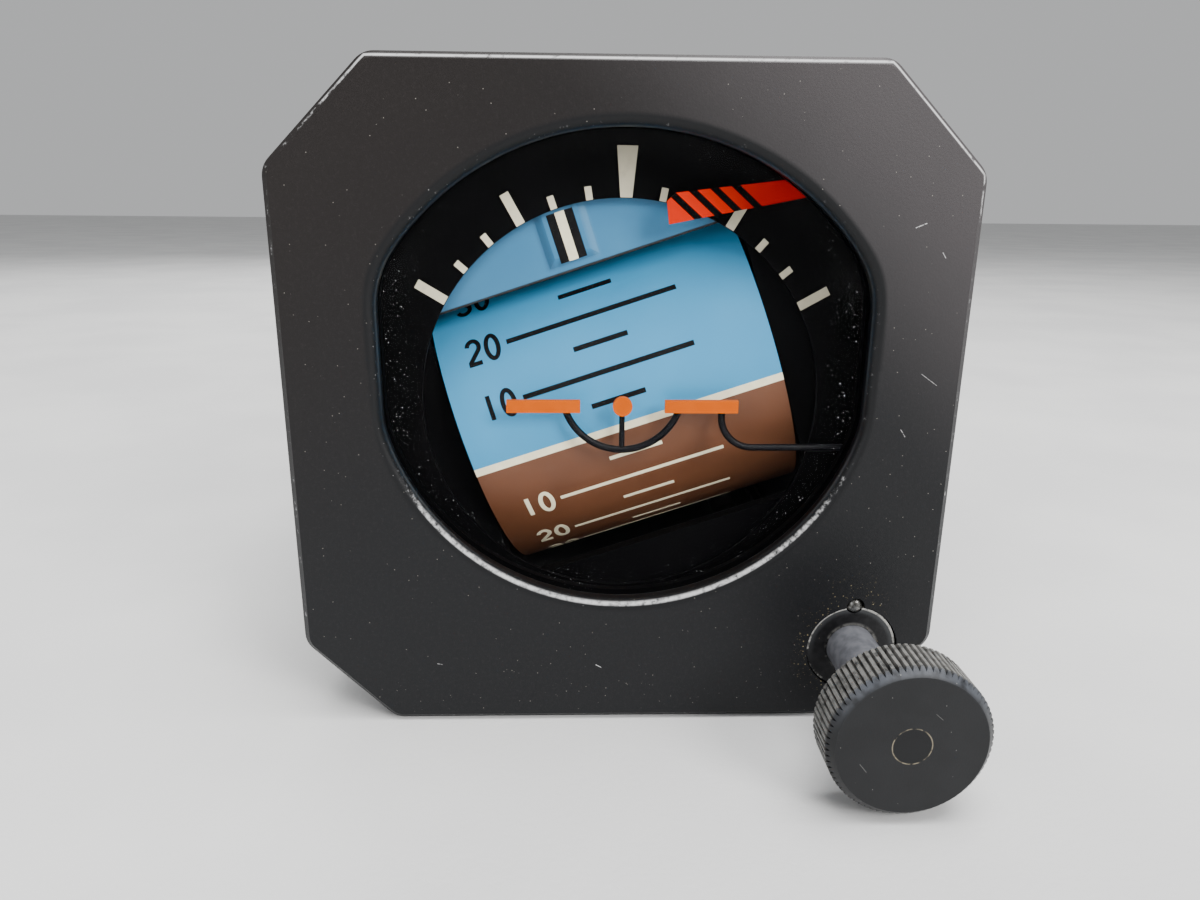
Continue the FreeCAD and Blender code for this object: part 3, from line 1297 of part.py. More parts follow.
def flag():
    front = -z.flagFront
    back = front + z.flagThick
    corners = [(-28.35, -3.6), (-5.3, 1.0), (-2.3, -0.8), (0.7, 2.2), (-4.3, 2.95), (-27.6, 0.15),
               (-28.7, -0.85)]
    face = Part.Face(Part.makePolygon([
        Vector(float(flagX) + x, float(front), float(flagZ) + up) for x, up in corners + corners[:1]]))
    vane = face.extrude(Vector(0, float(z.flagThick), 0)).fuse(rod(z.flagHub, front, back, flagX, flagZ))
    solid("flag_vane", vane.cut(rod(z.spindleRadius, front, back, flagX, flagZ)).removeSplitter())
    motorBack = frameBack + z.flagMotorLength
    spindle = newBody("flag_spindle")
    spindleBack = motorBack - 2
    turned(spindle, [(0, front), (z.spindleRadius, front), (z.spindleRadius, spindleBack), (0, spindleBack)])
    spindle.Placement = at(flagX, 0, flagZ)
    motor = newBody("flag_motor")
    turned(motor, [
        (z.spindleRadius + z.runningGap, frameBack), (z.flagMotor, frameBack), (z.flagMotor, motorBack),
        (0, motorBack), (0, motorBack - 1.8), (z.spindleRadius + z.runningGap, motorBack - 1.8),
    ])
    motor.Placement = at(flagX, 0, flagZ)


bezel()
window()
mask()
symbol()
frontFrame()
caseTube()
rearCover()
connector()
bearingCarrier()
rollBearings()
electrics()
rollGimbal()
cageCam()
slipRings()
armBearings("drum_bearings", drumDepth)
armBearings("pitch_bearings", gyroDepth)
gears()
drum()
gyro()
knob()
crank()
flag()

# ---------------------------------------------------------------- checks and export

doc.recompute()
for item in doc.Objects:
    if "Invalid" in item.State or "Error" in item.State:
        raise RuntimeError("%s did not build: %s" % (item.Name, item.State))
    if item.isDerivedFrom("PartDesign::Pocket"):
        if item.BaseFeature.Shape.Volume - item.Shape.Volume < 1e-3:
            raise RuntimeError("%s takes nothing away" % item.Name)
os.makedirs("parts", exist_ok=True)
for label, item in pieces.items():
    if item.Shape.isNull() or not item.Shape.isValid() or not item.Shape.Solids:
        raise RuntimeError("%s has no sound shape" % label)
    item.Shape.exportStep("parts/%s.step" % label)
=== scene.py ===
import json
import math

import bmesh
import bpy
from mathutils import Matrix, Vector


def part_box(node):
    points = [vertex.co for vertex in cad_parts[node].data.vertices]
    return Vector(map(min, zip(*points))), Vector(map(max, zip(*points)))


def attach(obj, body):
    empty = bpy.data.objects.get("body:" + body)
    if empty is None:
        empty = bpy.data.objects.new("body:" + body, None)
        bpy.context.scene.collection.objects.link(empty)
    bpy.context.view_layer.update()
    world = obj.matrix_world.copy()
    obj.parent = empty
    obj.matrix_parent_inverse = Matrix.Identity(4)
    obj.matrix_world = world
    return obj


# Looks of a three-inch panel attitude indicator.
# Lengths in the dictionaries are millimetres, angles degrees.

mm = 0.001

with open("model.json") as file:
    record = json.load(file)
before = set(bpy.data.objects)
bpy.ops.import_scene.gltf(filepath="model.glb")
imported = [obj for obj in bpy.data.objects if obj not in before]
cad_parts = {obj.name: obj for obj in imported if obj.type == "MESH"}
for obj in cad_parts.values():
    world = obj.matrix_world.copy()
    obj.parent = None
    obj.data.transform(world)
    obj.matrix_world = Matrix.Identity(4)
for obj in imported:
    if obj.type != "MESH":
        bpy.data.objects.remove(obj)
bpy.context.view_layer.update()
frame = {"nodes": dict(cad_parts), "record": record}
nodes = frame["nodes"]
print("frame loaded:", len(nodes), "nodes")


def paint(red, green, blue):
    # a colour as a paint chart gives it, made linear
    return tuple(c / 12.92 if c <= 0.04045 else ((c + 0.055) / 1.055) ** 2.4
                 for c in (red / 255, green / 255, blue / 255)) + (1,)


dustColour = paint(150, 146, 138)

# node trees


class Value:
    # a socket that stands in sums
    def __init__(self, tree, socket):
        self.tree = tree
        self.socket = socket

    def __add__(self, other):
        return self.tree.maths("ADD", self, other)

    def __sub__(self, other):
        return self.tree.maths("SUBTRACT", self, other)

    def __rsub__(self, other):
        return self.tree.maths("SUBTRACT", other, self)

    def __mul__(self, other):
        return self.tree.maths("MULTIPLY", self, other)

    def __truediv__(self, other):
        return self.tree.maths("DIVIDE", self, other)

    def __pow__(self, other):
        return self.tree.maths("POWER", self, other)

    def __abs__(self):
        return self.tree.maths("ABSOLUTE", self)


class Tree:
    def __init__(self, tree):
        self.tree = tree

    def node(self, kind, settings=None, sockets=None):
        made = self.tree.nodes.new(kind)
        for name, setting in (settings or {}).items():
            setattr(made, name, setting)
        for name, value in (sockets or {}).items():
            if isinstance(value, Value):
                value = value.socket
            if isinstance(value, bpy.types.NodeSocket):
                self.tree.links.new(value, made.inputs[name])
            else:
                made.inputs[name].default_value = value
        return made

    def maths(self, operation, *values):
        made = self.node("ShaderNodeMath", {"operation": operation}, dict(enumerate(values)))
        return Value(self, made.outputs[0])

    def least(self, first, second):
        return self.maths("MINIMUM", first, second)

    def most(self, first, second):
        return self.maths("MAXIMUM", first, second)


class Finish(Tree):
    # one material; its sums are in millimetres on the object
    def __init__(self, name):
        self.material = bpy.data.materials.new(name)
        self.material.use_nodes = True
        super().__init__(self.material.node_tree)
        self.tree.nodes.clear()
        coordinates = self.node("ShaderNodeTexCoord").outputs["Object"]
        self.place = self.node("ShaderNodeVectorMath", {"operation": "SCALE"},
                               {0: coordinates, "Scale": 1 / mm}).outputs[0]
        axes = self.node("ShaderNodeSeparateXYZ", None, {0: self.place})
        self.x, self.y, self.z = [Value(self, socket) for socket in axes.outputs]

    def spot(self, size=None, at=(0, 0, 0)):
        if size is None:
            return self.place
        return self.node("ShaderNodeMapping", None,
                         {"Vector": self.place, "Location": at, "Scale": size}).outputs[0]

    def noise(self, grain, detail=2.0, stretch=None, at=(0, 0, 0), roughness=0.5):
        made = self.node("ShaderNodeTexNoise", None, {
            "Vector": self.spot(stretch or ((1, 1, 1) if any(at) else None), at),
            "Scale": 1 / grain, "Detail": detail, "Roughness": roughness})
        return Value(self, made.outputs[0])

    def cells(self, grain, feature="F1", at=(0, 0, 0)):
        made = self.node("ShaderNodeTexVoronoi", {"feature": feature}, {
            "Vector": self.spot((1, 1, 1) if any(at) else None, at), "Scale": 1 / grain})
        return made

    def band(self, value, low, high, lowest=0.0, highest=1.0):
        made = self.node("ShaderNodeMapRange", {"interpolation_type": "SMOOTHSTEP"}, {
            "Value": value, "From Min": low, "From Max": high, "To Min": lowest, "To Max": highest})
        return Value(self, made.outputs[0])

    def slope(self, shareX, shareZ, low, high):
        # a gradient over the front
        return self.band(self.x * shareX + self.z * shareZ, low, high)

    def specks(self, grain, share, size=0.3, at=(0, 0, 0)):
        # scattered specks: a share of the cells holds one
        made = self.cells(grain, at=at)
        chance = self.node("ShaderNodeSeparateColor", None, {0: made.outputs["Color"]})
        picked = self.band(Value(self, chance.outputs[0]), 1 - share, 1 - share + 0.02)
        small = Value(self, chance.outputs[1]) * (0.7 * size) + 0.3 * size
        return picked * self.band(Value(self, made.outputs["Distance"]) / small, 1.0, 0.55)

    def mix(self, factor, first, second, blend="MIX"):
        made = self.node("ShaderNodeMix", {"data_type": "RGBA", "blend_type": blend}, {
            0: factor, 6: first, 7: second})
        return made.outputs[2]

    def mottle(self, patches, first, second):
        # two near colours in soft patches
        return self.mix(self.band(patches, 0.3, 0.7), first, second)

    def edge(self, radius):
        # 0 on a flat face, towards 1 at a sharp edge
        soft = self.node("ShaderNodeBevel", {"samples": 6}, {"Radius": radius * mm}).outputs[0]
        plain = self.node("ShaderNodeNewGeometry").outputs["Normal"]
        alike = self.node("ShaderNodeVectorMath", {"operation": "DOT_PRODUCT"}, {0: soft, 1: plain})
        return self.band(Value(self, alike.outputs["Value"]), 0.995, 0.80)

    def line(self, start, end, width):
        # 1 on a straight scratch seen from the front, given by its ends (x, z)
        run = Vector(end) - Vector(start)
        along = ((self.x - start[0]) * run.x + (self.z - start[1]) * run.y) / run.length_squared
        along = self.least(self.most(along, 0.0), 1.0)
        gapX = self.x - (along * run.x + start[0])
        gapZ = self.z - (along * run.y + start[1])
        return self.band((gapX * gapX + gapZ * gapZ) ** 0.5, width, width * 0.4)

    def radius(self, x=0.0, z=0.0):
        # distance from an axis that runs front to back
        across = self.x - x
        up = self.z - z
        return (across * across + up * up) ** 0.5

    def surface(self, colour, rough=0.5, metal=0.0, height=None, **constants):
        sockets = {"Base Color": colour, "Roughness": rough, "Metallic": metal}
        if height is not None:
            sockets["Normal"] = self.node("ShaderNodeBump", None, {
                "Strength": 1.0, "Distance": mm, "Height": height}).outputs[0]
        sockets.update({name.replace("_", " "): value for name, value in constants.items()})
        shader = self.node("ShaderNodeBsdfPrincipled", None, sockets)
        output = self.node("ShaderNodeOutputMaterial")
        self.tree.links.new(shader.outputs[0], output.inputs["Surface"])
        return self.material


# plain finishes: colour, second colour and the size of its patches, roughness from and to,
# grain size and height, metal, edge radius and edge colour, dust
plainFinishes = {
    "gasket": dict(colour=paint(20, 20, 21), second=paint(34, 34, 35), patch=4, rough=(0.55, 0.8),
                   grain=0.12, height=0.012, dust=0.25),
    "steel_screws": dict(colour=paint(120, 120, 122), second=paint(78, 76, 74), patch=1.5,
                         rough=(0.25, 0.5), grain=0.2, height=0.006, metal=1, edge=0.15,
                         worn=paint(190, 190, 190)),
    "wire_black": dict(colour=paint(5, 5, 9), second=paint(10, 10, 15), patch=2, rough=(0.38, 0.52),
                       grain=0.15, height=0.004, gloss=0.14),
    "cast_alloy": dict(colour=paint(150, 150, 148), second=paint(118, 118, 117), patch=9, rough=(0.38, 0.6),
                       grain=0.35, height=0.02, metal=1, edge=0.3, worn=paint(200, 200, 198)),
    "connector_olive": dict(colour=paint(92, 92, 62), second=paint(70, 74, 52), patch=5, rough=(0.32, 0.5),
                            grain=0.3, height=0.008, metal=0.85, edge=0.25, worn=paint(170, 168, 150)),
    "insert_plastic": dict(colour=paint(34, 36, 40), second=paint(50, 50, 52), patch=3, rough=(0.35, 0.55),
                           grain=0.2, height=0.006, dust=0.3),
    "gold_pins": dict(colour=paint(226, 180, 92), second=paint(190, 142, 66), patch=1.2, rough=(0.18, 0.34),
                      grain=0.15, height=0.003, metal=1),
    "bearing_steel": dict(colour=paint(176, 178, 182), second=paint(138, 140, 144), patch=3,
                          rough=(0.12, 0.28), grain=0.3, height=0.003, metal=1),
    "board_green": dict(colour=paint(26, 84, 50), second=paint(18, 60, 38), patch=3.5, rough=(0.28, 0.42),
                        grain=0.5, height=0.012),
    "core_steel": dict(colour=paint(110, 108, 104), second=paint(84, 80, 76), patch=1.2, rough=(0.4, 0.62),
                       grain=0.25, height=0.02, metal=0.9, stretch=(0.2, 4, 0.2)),
    "capacitor_sleeve": dict(colour=paint(28, 52, 96), second=paint(20, 38, 74), patch=5, rough=(0.28, 0.4),
                             grain=0.5, height=0.004),
    "pin_steel": dict(colour=paint(120, 120, 118), second=paint(70, 69, 66), patch=0.5, rough=(0.22, 0.4),
                      grain=0.1, height=0.006, metal=0.8, edge=0.2, worn=paint(196, 194, 188)),
    "gimbal_black": dict(colour=paint(9, 9, 10), second=paint(18, 18, 19), patch=6, rough=(0.5, 0.7),
                         grain=0.3, height=0.015, edge=0.3, worn=paint(44, 44, 44)),
    "gear_brass": dict(colour=paint(196, 156, 82), second=paint(160, 122, 62), patch=2.5, rough=(0.22, 0.4),
                       grain=0.25, height=0.004, metal=1),
    "gyro_alloy": dict(colour=paint(168, 168, 166), second=paint(140, 140, 140), patch=7, rough=(0.3, 0.5),
                       grain=0.3, height=0.01, metal=1, edge=0.3, worn=paint(210, 210, 208)),
    "rotor_brass": dict(colour=paint(186, 148, 84), second=paint(150, 116, 64), patch=4, rough=(0.18, 0.32),
                        grain=0.3, height=0.004, metal=1, stretch=(0.3, 0.3, 5)),
}


def plainFinish(name, spec):
    made = Finish(name)
    patches = made.noise(spec["patch"], 3, spec.get("stretch"))
    grain = made.noise(spec["grain"], 2)
    colour = made.mix(made.band(patches, 0.35, 0.65), spec["colour"], spec["second"])
    if "edge" in spec:
        colour = made.mix(made.edge(spec["edge"]) * made.band(patches, 0.3, 0.6), colour, spec["worn"])
    if "dust" in spec:
        dust = made.specks(0.9, 0.25 * spec["dust"], 0.12)
        colour = made.mix(dust * spec["dust"], colour, dustColour)
    low, high = spec["rough"]
    return made.surface(colour, patches * (high - low) + low, float(spec.get("metal", 0)),
                        grain * spec["height"], Specular_IOR_Level=spec.get("gloss", 0.5))


finishes = {name: plainFinish(name, spec) for name, spec in plainFinishes.items()}
print("plain finishes:", len(finishes))

# the front's own sizes: its reach from the frame, the rest as the part has them
bezelLow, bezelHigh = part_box("bezel")
frontSizes = {
    "half": bezelHigh.x / mm, "front": bezelLow.y / mm, "cut": 11.2, "cutTop": 12.1, "bevel": 0.8,
    "windowTop": 34.0, "windowSide": 29.7, "windowLow": 30.5, "windowRise": 6.3, "windowEdge": 1.1,
    "windowBlend": 3.0, "knobX": 30.8, "knobZ": -31.2, "collar": 5.9, "collarBore": 3.4,
    "pin": 1.1,
}


def windowGap(made):
    # distance outside the window's edge, negative inside it
    sizes = frontSizes
    upper = made.radius() - sizes["windowTop"]
    lower = made.radius(0, sizes["windowRise"]) - sizes["windowLow"]
    isUpper = made.band(made.z, sizes["windowRise"] - 0.01, sizes["windowRise"] + 0.01)
    arc = upper * isUpper + lower * (1 - isUpper)
    return made.maths("SMOOTH_MAX", arc, abs(made.x) - sizes["windowSide"], sizes["windowBlend"])


def outlineGap(made):
    # distance inside the bezel's outline, its cut corners included
    sizes = frontSizes
    isUpper = made.band(made.z, -0.1, 0.1)
    straight = sizes["half"] - made.most(abs(made.x), abs(made.z))
    cut = isUpper * (sizes["cutTop"] - sizes["cut"]) + sizes["cut"]
    slant = (2 * sizes["half"] - cut - abs(made.x) - abs(made.z)) / math.sqrt(2)
    return made.least(straight, slant)


bezelLook = {
    # the brown and the lighter grey are painted reflections on the front; the lighter grey also colours its
    # fine grain
    "colour": paint(15, 16, 18), "brownReflection": paint(25, 20, 18), "sheenAndGrain": paint(74, 70, 71),
    # the rim and bore colours are painted shade, the lip colour a painted highlight
    "rim": paint(9, 10, 12), "lip": paint(66, 69, 72), "bore": paint(2, 2, 3),
    # the pale grey is wear, and round the window's lower rim also a painted highlight
    "worn": paint(180, 180, 180), "dust": dustColour, "rough": (0.42, 0.50),
    "wrinkle": 0.26, "wrinkleHeight": 0.02, "gloss": 0.22,
    # painted reflections over the front, each a gradient: shares of x and z, where it starts and ends
    "sheenTowardsRight": (0.70, 0.72, 20, 50), "reflectionTowardsLeft": (-0.6, 0.8, 0, 50),
    # each scratch: start and end (x, z), and half its width
    "scratches": (((33.4, 23.2), (34.6, 23.7), 0.07), ((36.9, 20.4), (37.3, 19.8), 0.05),
                  ((-3.3, -33.3), (-2.6, -33.7), 0.06), ((36.0, 6.0), (38.0, 4.6), 0.035),
                  ((-24.2, -33.0), (-23.6, -33.1), 0.05), ((34.2, -1.0), (34.8, -1.9), 0.05)),
}


def bezelFinish():
    made = Finish("bezel_paint")
    sizes = frontSizes
    patches = made.noise(14, 3)
    fine = made.noise(0.5, 3)
    wrinkle = made.noise(bezelLook["wrinkle"], 3, roughness=0.6)
    grain = made.noise(0.16, 2, (1, 1, 3))
    sheenTowardsRight = made.slope(*bezelLook["sheenTowardsRight"])
    reflectionTowardsLeft = made.slope(*bezelLook["reflectionTowardsLeft"])
    # a painted brownish reflection, stronger towards the upper left
    colour = made.mix(reflectionTowardsLeft * 0.8, bezelLook["colour"], bezelLook["brownReflection"])
    # a painted sheen, lighter towards the upper right
    colour = made.mix(sheenTowardsRight * (patches * 0.16 + 0.58), colour, bezelLook["sheenAndGrain"])
    colour = made.mix(made.band(fine * 0.4 + grain * 0.6, 0.50, 0.72) * 0.12, colour, bezelLook["sheenAndGrain"])
    # the front's outer edge, worn bright along the top and the upper right
    nearFront = made.band(made.y, sizes["front"] + 1.3, sizes["front"] + 0.5)
    outerEdge = made.band(abs(outlineGap(made) - sizes["bevel"] * 0.62), 0.22, 0.05) * nearFront
    most = made.band(made.z + made.x * 0.12, 24, 40) * 0.34
    outerWear = outerEdge * made.band(made.noise(0.9, 4, roughness=0.65) + most, 0.56, 0.80)
    # the window's rim: painted shade on its chamfer, a painted highlight along its lip, the bore painted
    # near black as painted shade, and a bright line round its lower half that is partly wear and partly a
    # painted highlight
    gap = windowGap(made)
    windowEdge = sizes["windowEdge"]
    # the chamfer painted darker, as painted shade
    colour = made.mix(made.band(gap, windowEdge + 0.5, windowEdge - 0.1), colour, bezelLook["rim"])
    edgeDepth = sizes["front"] + windowEdge
    # a painted highlight along the chamfer's inner edge, fading out towards the bottom
    lip = made.band(abs(made.y - edgeDepth), 0.6, 0.05) * made.band(abs(gap), 0.7, 0.05)
    colour = made.mix(lip * made.band(made.z, -22, -8, 0.0, 0.45), colour, bezelLook["lip"])
    # the bore behind the chamfer painted near black, as painted shade
    inBore = made.band(made.y, edgeDepth, edgeDepth + 0.4)
    colour = made.mix(inBore * made.band(gap, 0.4, 0.1) * 0.9, colour, bezelLook["bore"])
    # a bright line on the chamfer, partly wear and partly a painted highlight, strongest round the bottom
    atRim = made.band(made.y, sizes["front"] + 1.2, sizes["front"] + 0.7)
    rim = made.band(abs(gap - windowEdge * 0.36), 0.32, 0.08) * atRim
    lowRimHighlight = made.band(made.z, -2, -17) * made.band(made.x, 34, 12, 0.55, 1.0)
    rimWearAndHighlight = rim * made.band(made.noise(0.7, 4, roughness=0.7) + lowRimHighlight * 0.36 - 0.14, 0.46, 0.80)
    grit = made.specks(0.5, 0.35, 0.16) * made.band(abs(gap - 0.7), 1.1, 0.3) * made.band(made.x, 10, -20)
    wearAndHighlight = made.most(made.most(outerWear, rimWearAndHighlight), grit * 0.5)
    for start, end, width in bezelLook["scratches"]:
        wearAndHighlight = made.most(wearAndHighlight, made.line(start, end, width) * made.band(made.noise(0.3), 0.3, 0.55))
    dust = made.most(made.specks(0.9, 0.5, 0.085), made.specks(2.9, 0.45, 0.05, (7, 3, 5)))
    lowEdge = made.band(made.z, -30, -39) * made.band(made.noise(5, 3), 0.35, 0.6)
    dust = made.most(dust, made.specks(0.5, 0.45, 0.13, (4, 4, 1)) * lowEdge)
    # dust caught round the knob's collar and pin
    collarGap = made.radius(sizes["knobX"], sizes["knobZ"]) - sizes["collar"]
    pinGap = made.radius(sizes["knobX"], sizes["knobZ"] + sizes["collar"]) - sizes["pin"]
    roundCollar = made.band(collarGap, 3.2, 0.1) * made.band(made.x, 34, 26)
    cloud = made.most(made.band(pinGap, 4.6, 0.2), roundCollar)
    cloud = cloud * made.most(made.specks(0.30, 0.5, 0.30), made.specks(0.47, 0.4, 0.25, (2, 2, 7)))
    colour = made.mix(cloud * 0.85, colour, paint(140, 128, 98))
    colour = made.mix(dust * 0.75, colour, bezelLook["dust"])
    colour = made.mix(wearAndHighlight * 0.9, colour, bezelLook["worn"])
    low, high = bezelLook["rough"]
    return made.surface(colour, patches * (high - low) + low + dust * 0.2, 0.0,
                        wrinkle * bezelLook["wrinkleHeight"] * (1 - wearAndHighlight),
                        Specular_IOR_Level=bezelLook["gloss"])


caseLook = {
    "colour": paint(38, 38, 39), "second": paint(50, 50, 52), "patch": 18,
    "crinkle": 0.8, "crinkleHeight": 0.035, "scuff": paint(96, 96, 96), "scuffed": 0.3,
    "worn": paint(140, 140, 138), "edge": 0.5, "dusty": 0.7,
}


def caseFinish():
    made = Finish("case_black")
    patches = made.noise(caseLook["patch"], 3)
    crinkle = made.cells(caseLook["crinkle"], "SMOOTH_F1").outputs["Distance"]
    colour = made.mottle(patches, caseLook["colour"], caseLook["second"])
    scuffs = made.band(made.noise(1.6, 5, (1, 0.12, 1), roughness=0.65), 0.60, 0.72)
    scuffs = scuffs * made.band(patches, 0.45, 0.6)
    colour = made.mix(scuffs * caseLook["scuffed"], colour, caseLook["scuff"])
    rubbedAndLit = made.edge(caseLook["edge"]) * made.band(made.noise(1.2, 3), 0.35, 0.6)
    colour = made.mix(rubbedAndLit, colour, caseLook["worn"])
    colour = made.mix(made.specks(1.6, 0.3, 0.08) * caseLook["dusty"], colour, dustColour)
    return made.surface(colour, patches * 0.2 + 0.36, 0.0, Value(made, crinkle) * caseLook["crinkleHeight"])


innerLook = {
    "colour": paint(2, 2, 3), "second": paint(4, 4, 5), "dust": paint(150, 142, 128), "nearRim": (27, 35),
    "gloss": 0.06,
}


def innerFinish():
    made = Finish("inner_black")
    away = made.radius()
    patches = made.noise(8, 3)
    colour = made.mottle(patches, innerLook["colour"], innerLook["second"])
    # fine dust gathers towards the glass's edge
    nearRim = made.band(away, *innerLook["nearRim"])
    dust = made.most(made.specks(0.55, 0.3, 0.10), made.specks(1.4, 0.3, 0.06, (3, 1, 8)))
    dust = dust * (nearRim * 0.5 + 0.05) * made.band(made.noise(3.0, 3), 0.42, 0.64)
    colour = made.mix(dust, colour, innerLook["dust"])
    return made.surface(colour, patches * 0.2 + 0.55, 0.0, made.noise(0.25) * 0.003,
                        Specular_IOR_Level=innerLook["gloss"])


glassLook = {
    "colour": (0.9, 0.92, 0.93, 1), "shine": 1.07, "film": 0.006, "filmRim": (30, 38), "rough": 0.04,
}


def glassFinish():
    made = Finish("window_glass")
    fresnel = Value(made, made.node("ShaderNodeFresnel", None, {"IOR": glassLook["shine"]}).outputs[0])
    # the pane shines on the side that is looked at, not again on its far side
    behind = Value(made, made.node("ShaderNodeNewGeometry").outputs["Backfacing"])
    film = made.band(made.radius() + made.noise(5, 3) * 4, *glassLook["filmRim"]) * glassLook["film"]
    marks = made.specks(3.0, 0.25, 0.03, (2, 4, 6)) * 0.35
    nearEdge = made.band(windowGap(made) + made.noise(4, 3) * 3, -3.6, 0.6)
    nearEdge = nearEdge * made.band(made.z, 30, 12, 0.35, 1.0)
    grit = made.most(made.specks(0.40, 0.4, 0.21, (9, 1, 4)), made.specks(0.9, 0.4, 0.13, (1, 8, 2)))
    marks = made.most(marks, grit * nearEdge * made.band(made.noise(1.5, 3), 0.40, 0.58) * 0.7)
    alpha = made.most(fresnel * (1 - behind), film + marks)
    return made.surface(glassLook["colour"], film * 3 + glassLook["rough"], 1.0, None, Alpha=alpha.socket)


orangeLook = {
    "colour": (0.50, 0.085, 0.0, 1), "second": (0.46, 0.074, 0.0, 1), "rim": (0.64, 0.15, 0.0, 1),
    "paintedGlow": 0.10, "gloss": 0.04,
}


def orangeFinish():
    made = Finish("symbol_orange")
    patches = made.noise(1.8, 3)
    colour = made.mottle(patches, orangeLook["colour"], orangeLook["second"])
    colour = made.mix(made.edge(0.12) * 0.6, colour, orangeLook["rim"])
    # the symbol is given a faint glow, as painted light
    return made.surface(colour, patches * 0.15 + 0.42, 0.0, made.noise(0.2) * 0.006,
                        Emission_Color=colour, Emission_Strength=orangeLook["paintedGlow"],
                        Specular_IOR_Level=orangeLook["gloss"])


flagLook = {
    # the deep red is painted shade on the flag's right part
    "red": (0.55, 0.016, 0.0, 1), "deep": (0.33, 0.001, 0.0, 1), "black": paint(4, 4, 4),
    # a stripe's left side at the vane's upper edge and lower edge, its width and the pitch between stripes
    "upper": (5.55, 26.4), "lower": (8.55, 23.8), "width": 1.22, "pitch": 2.98, "count": 4,
    "paintedGlow": 0.08, "gloss": 0.04,
}


def flagFinish():
    made = Finish("flag_red")
    upper, lower = Vector(flagLook["upper"]), Vector(flagLook["lower"])
    run = (lower - upper).normalized()
    across = (made.x - upper.x) * -run.y + (made.z - upper.y) * run.x
    step, width = flagLook["pitch"] * -run.y, flagLook["width"] * -run.y
    order = across / step
    within = made.maths("FRACT", order + 10.0) * step
    striped = made.band(within, width + 0.03, width - 0.03)
    count = flagLook["count"]
    striped = striped * made.band(order, -0.01, 0.0) * made.band(order, count, count - 0.01)
    patches = made.noise(3, 3)
    # the red darkens towards the right, as painted shade
    red = made.mix(made.band(made.x + made.noise(2) * 3, 8, 20), flagLook["red"], flagLook["deep"])
    colour = made.mix(striped, red, flagLook["black"])
    colour = made.mix(made.specks(1.1, 0.2, 0.06) * 0.5, colour, paint(180, 150, 140))
    # the red, not its stripes, is given a faint glow, as painted light
    paintedGlow = made.mix(striped, red, (0, 0, 0, 1))
    return made.surface(colour, patches * 0.15 + 0.4, 0.0, made.noise(0.25) * 0.006,
                        Emission_Color=paintedGlow, Emission_Strength=flagLook["paintedGlow"],
                        Specular_IOR_Level=flagLook["gloss"])


# the drum: its place at rest, and its printing
drumLow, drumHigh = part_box("pitch_drum")
drumSizes = {
    "roll": -18.4, "turn": 6.78, "ratio": 62 / 32, "half": 21.35,
    "axis": (drumLow.y + drumHigh.y) / 2 / mm, "radius": (drumHigh.y - drumLow.y) / 2 / mm,
}
drumPlace = (Matrix.Translation((0, drumSizes["axis"] * mm, 0))
             @ Matrix.Rotation(math.radians(drumSizes["roll"]), 4, "Y")
             @ Matrix.Rotation(math.radians(drumSizes["turn"]), 4, "X"))

# heights above the roll axis of the plate's lower edge and its pad's, and half the pad's width
skyLook = {
    "edge": 18.3, "padLow": 19.4, "padHalf": 3.35,
    # the darker blue is a painted shadow of the scale mask
    "colour": (0.028, 0.176, 0.345, 1), "second": (0.034, 0.192, 0.365, 1), "maskShadow": paint(34, 66, 92),
    # the near black is a painted shadow along the plate's lower edge; the two blues after it are painted
    # shade and a painted highlight on the pad's slopes
    "ink": paint(4, 5, 8), "padShade": paint(22, 62, 92), "rubbedAndLit": paint(110, 160, 190),
    "specks": paint(190, 190, 180),
}
drumLook = {
    "sky": (0.029, 0.262, 0.50, 1), "skySecond": (0.035, 0.278, 0.52, 1),
    "ground": (0.120, 0.042, 0.016, 1), "groundSecond": (0.138, 0.049, 0.019, 1),
    "specks": paint(190, 186, 170),
}


def skyFinish():
    made = Finish("sky_blue")
    patches = made.noise(6, 3)
    colour = made.mottle(patches, skyLook["colour"], skyLook["second"])
    # painted shadow where the plate runs under the scale mask, and a painted shadow along its lower edge
    colour = made.mix(made.band(made.radius(), 24.6, 26.6) * 0.45, colour, skyLook["maskShadow"])
    tilt = math.radians(drumSizes["roll"])
    above = made.x * math.sin(tilt) + made.z * math.cos(tilt)
    edgeShadow = made.band(above, skyLook["edge"] + 0.36, skyLook["edge"] + 0.24)
    colour = made.mix(edgeShadow, colour, skyLook["ink"])
    # painted shade along the pad's left and lower slopes, and a painted highlight on its right slope
    along = made.x * math.cos(tilt) - made.z * math.sin(tilt)
    low, half = skyLook["padLow"], skyLook["padHalf"]
    besidePad = made.band(above, low - 0.6, low + 0.2)
    left = made.band(abs(along + half - 0.3), 1.0, 0.1) * besidePad
    under = made.band(abs(above - low - 0.2), 0.7, 0.1) * made.band(abs(along), half, half - 0.6)
    right = made.band(abs(along - half + 0.3), 0.7, 0.1) * besidePad
    colour = made.mix(made.most(left * 0.5, under * 0.3), colour, skyLook["padShade"])
    colour = made.mix(right * 0.25, colour, skyLook["rubbedAndLit"])
    colour = made.mix(made.specks(1.3, 0.15, 0.05) * 0.4, colour, skyLook["specks"])
    return made.surface(colour, patches * 0.12 + 0.5, 0.0, made.noise(0.3) * 0.005)


def drumFinish():
    made = Finish("drum_face")
    up = drumPlace.to_3x3() @ Vector((0, 0, 1))
    above = made.x * up.x + (made.y - drumSizes["axis"]) * up.y + made.z * up.z
    isSky = made.band(above, -0.02, 0.02)
    patches = made.noise(7, 3)
    sky = made.mottle(patches, drumLook["sky"], drumLook["skySecond"])
    ground = made.mottle(patches, drumLook["ground"], drumLook["groundSecond"])
    colour = made.mix(isSky, ground, sky)
    colour = made.mix(made.specks(1.5, 0.16, 0.045) * 0.5, colour, drumLook["specks"])
    return made.surface(colour, patches * 0.12 + 0.48, 0.0, made.noise(0.3) * 0.005)


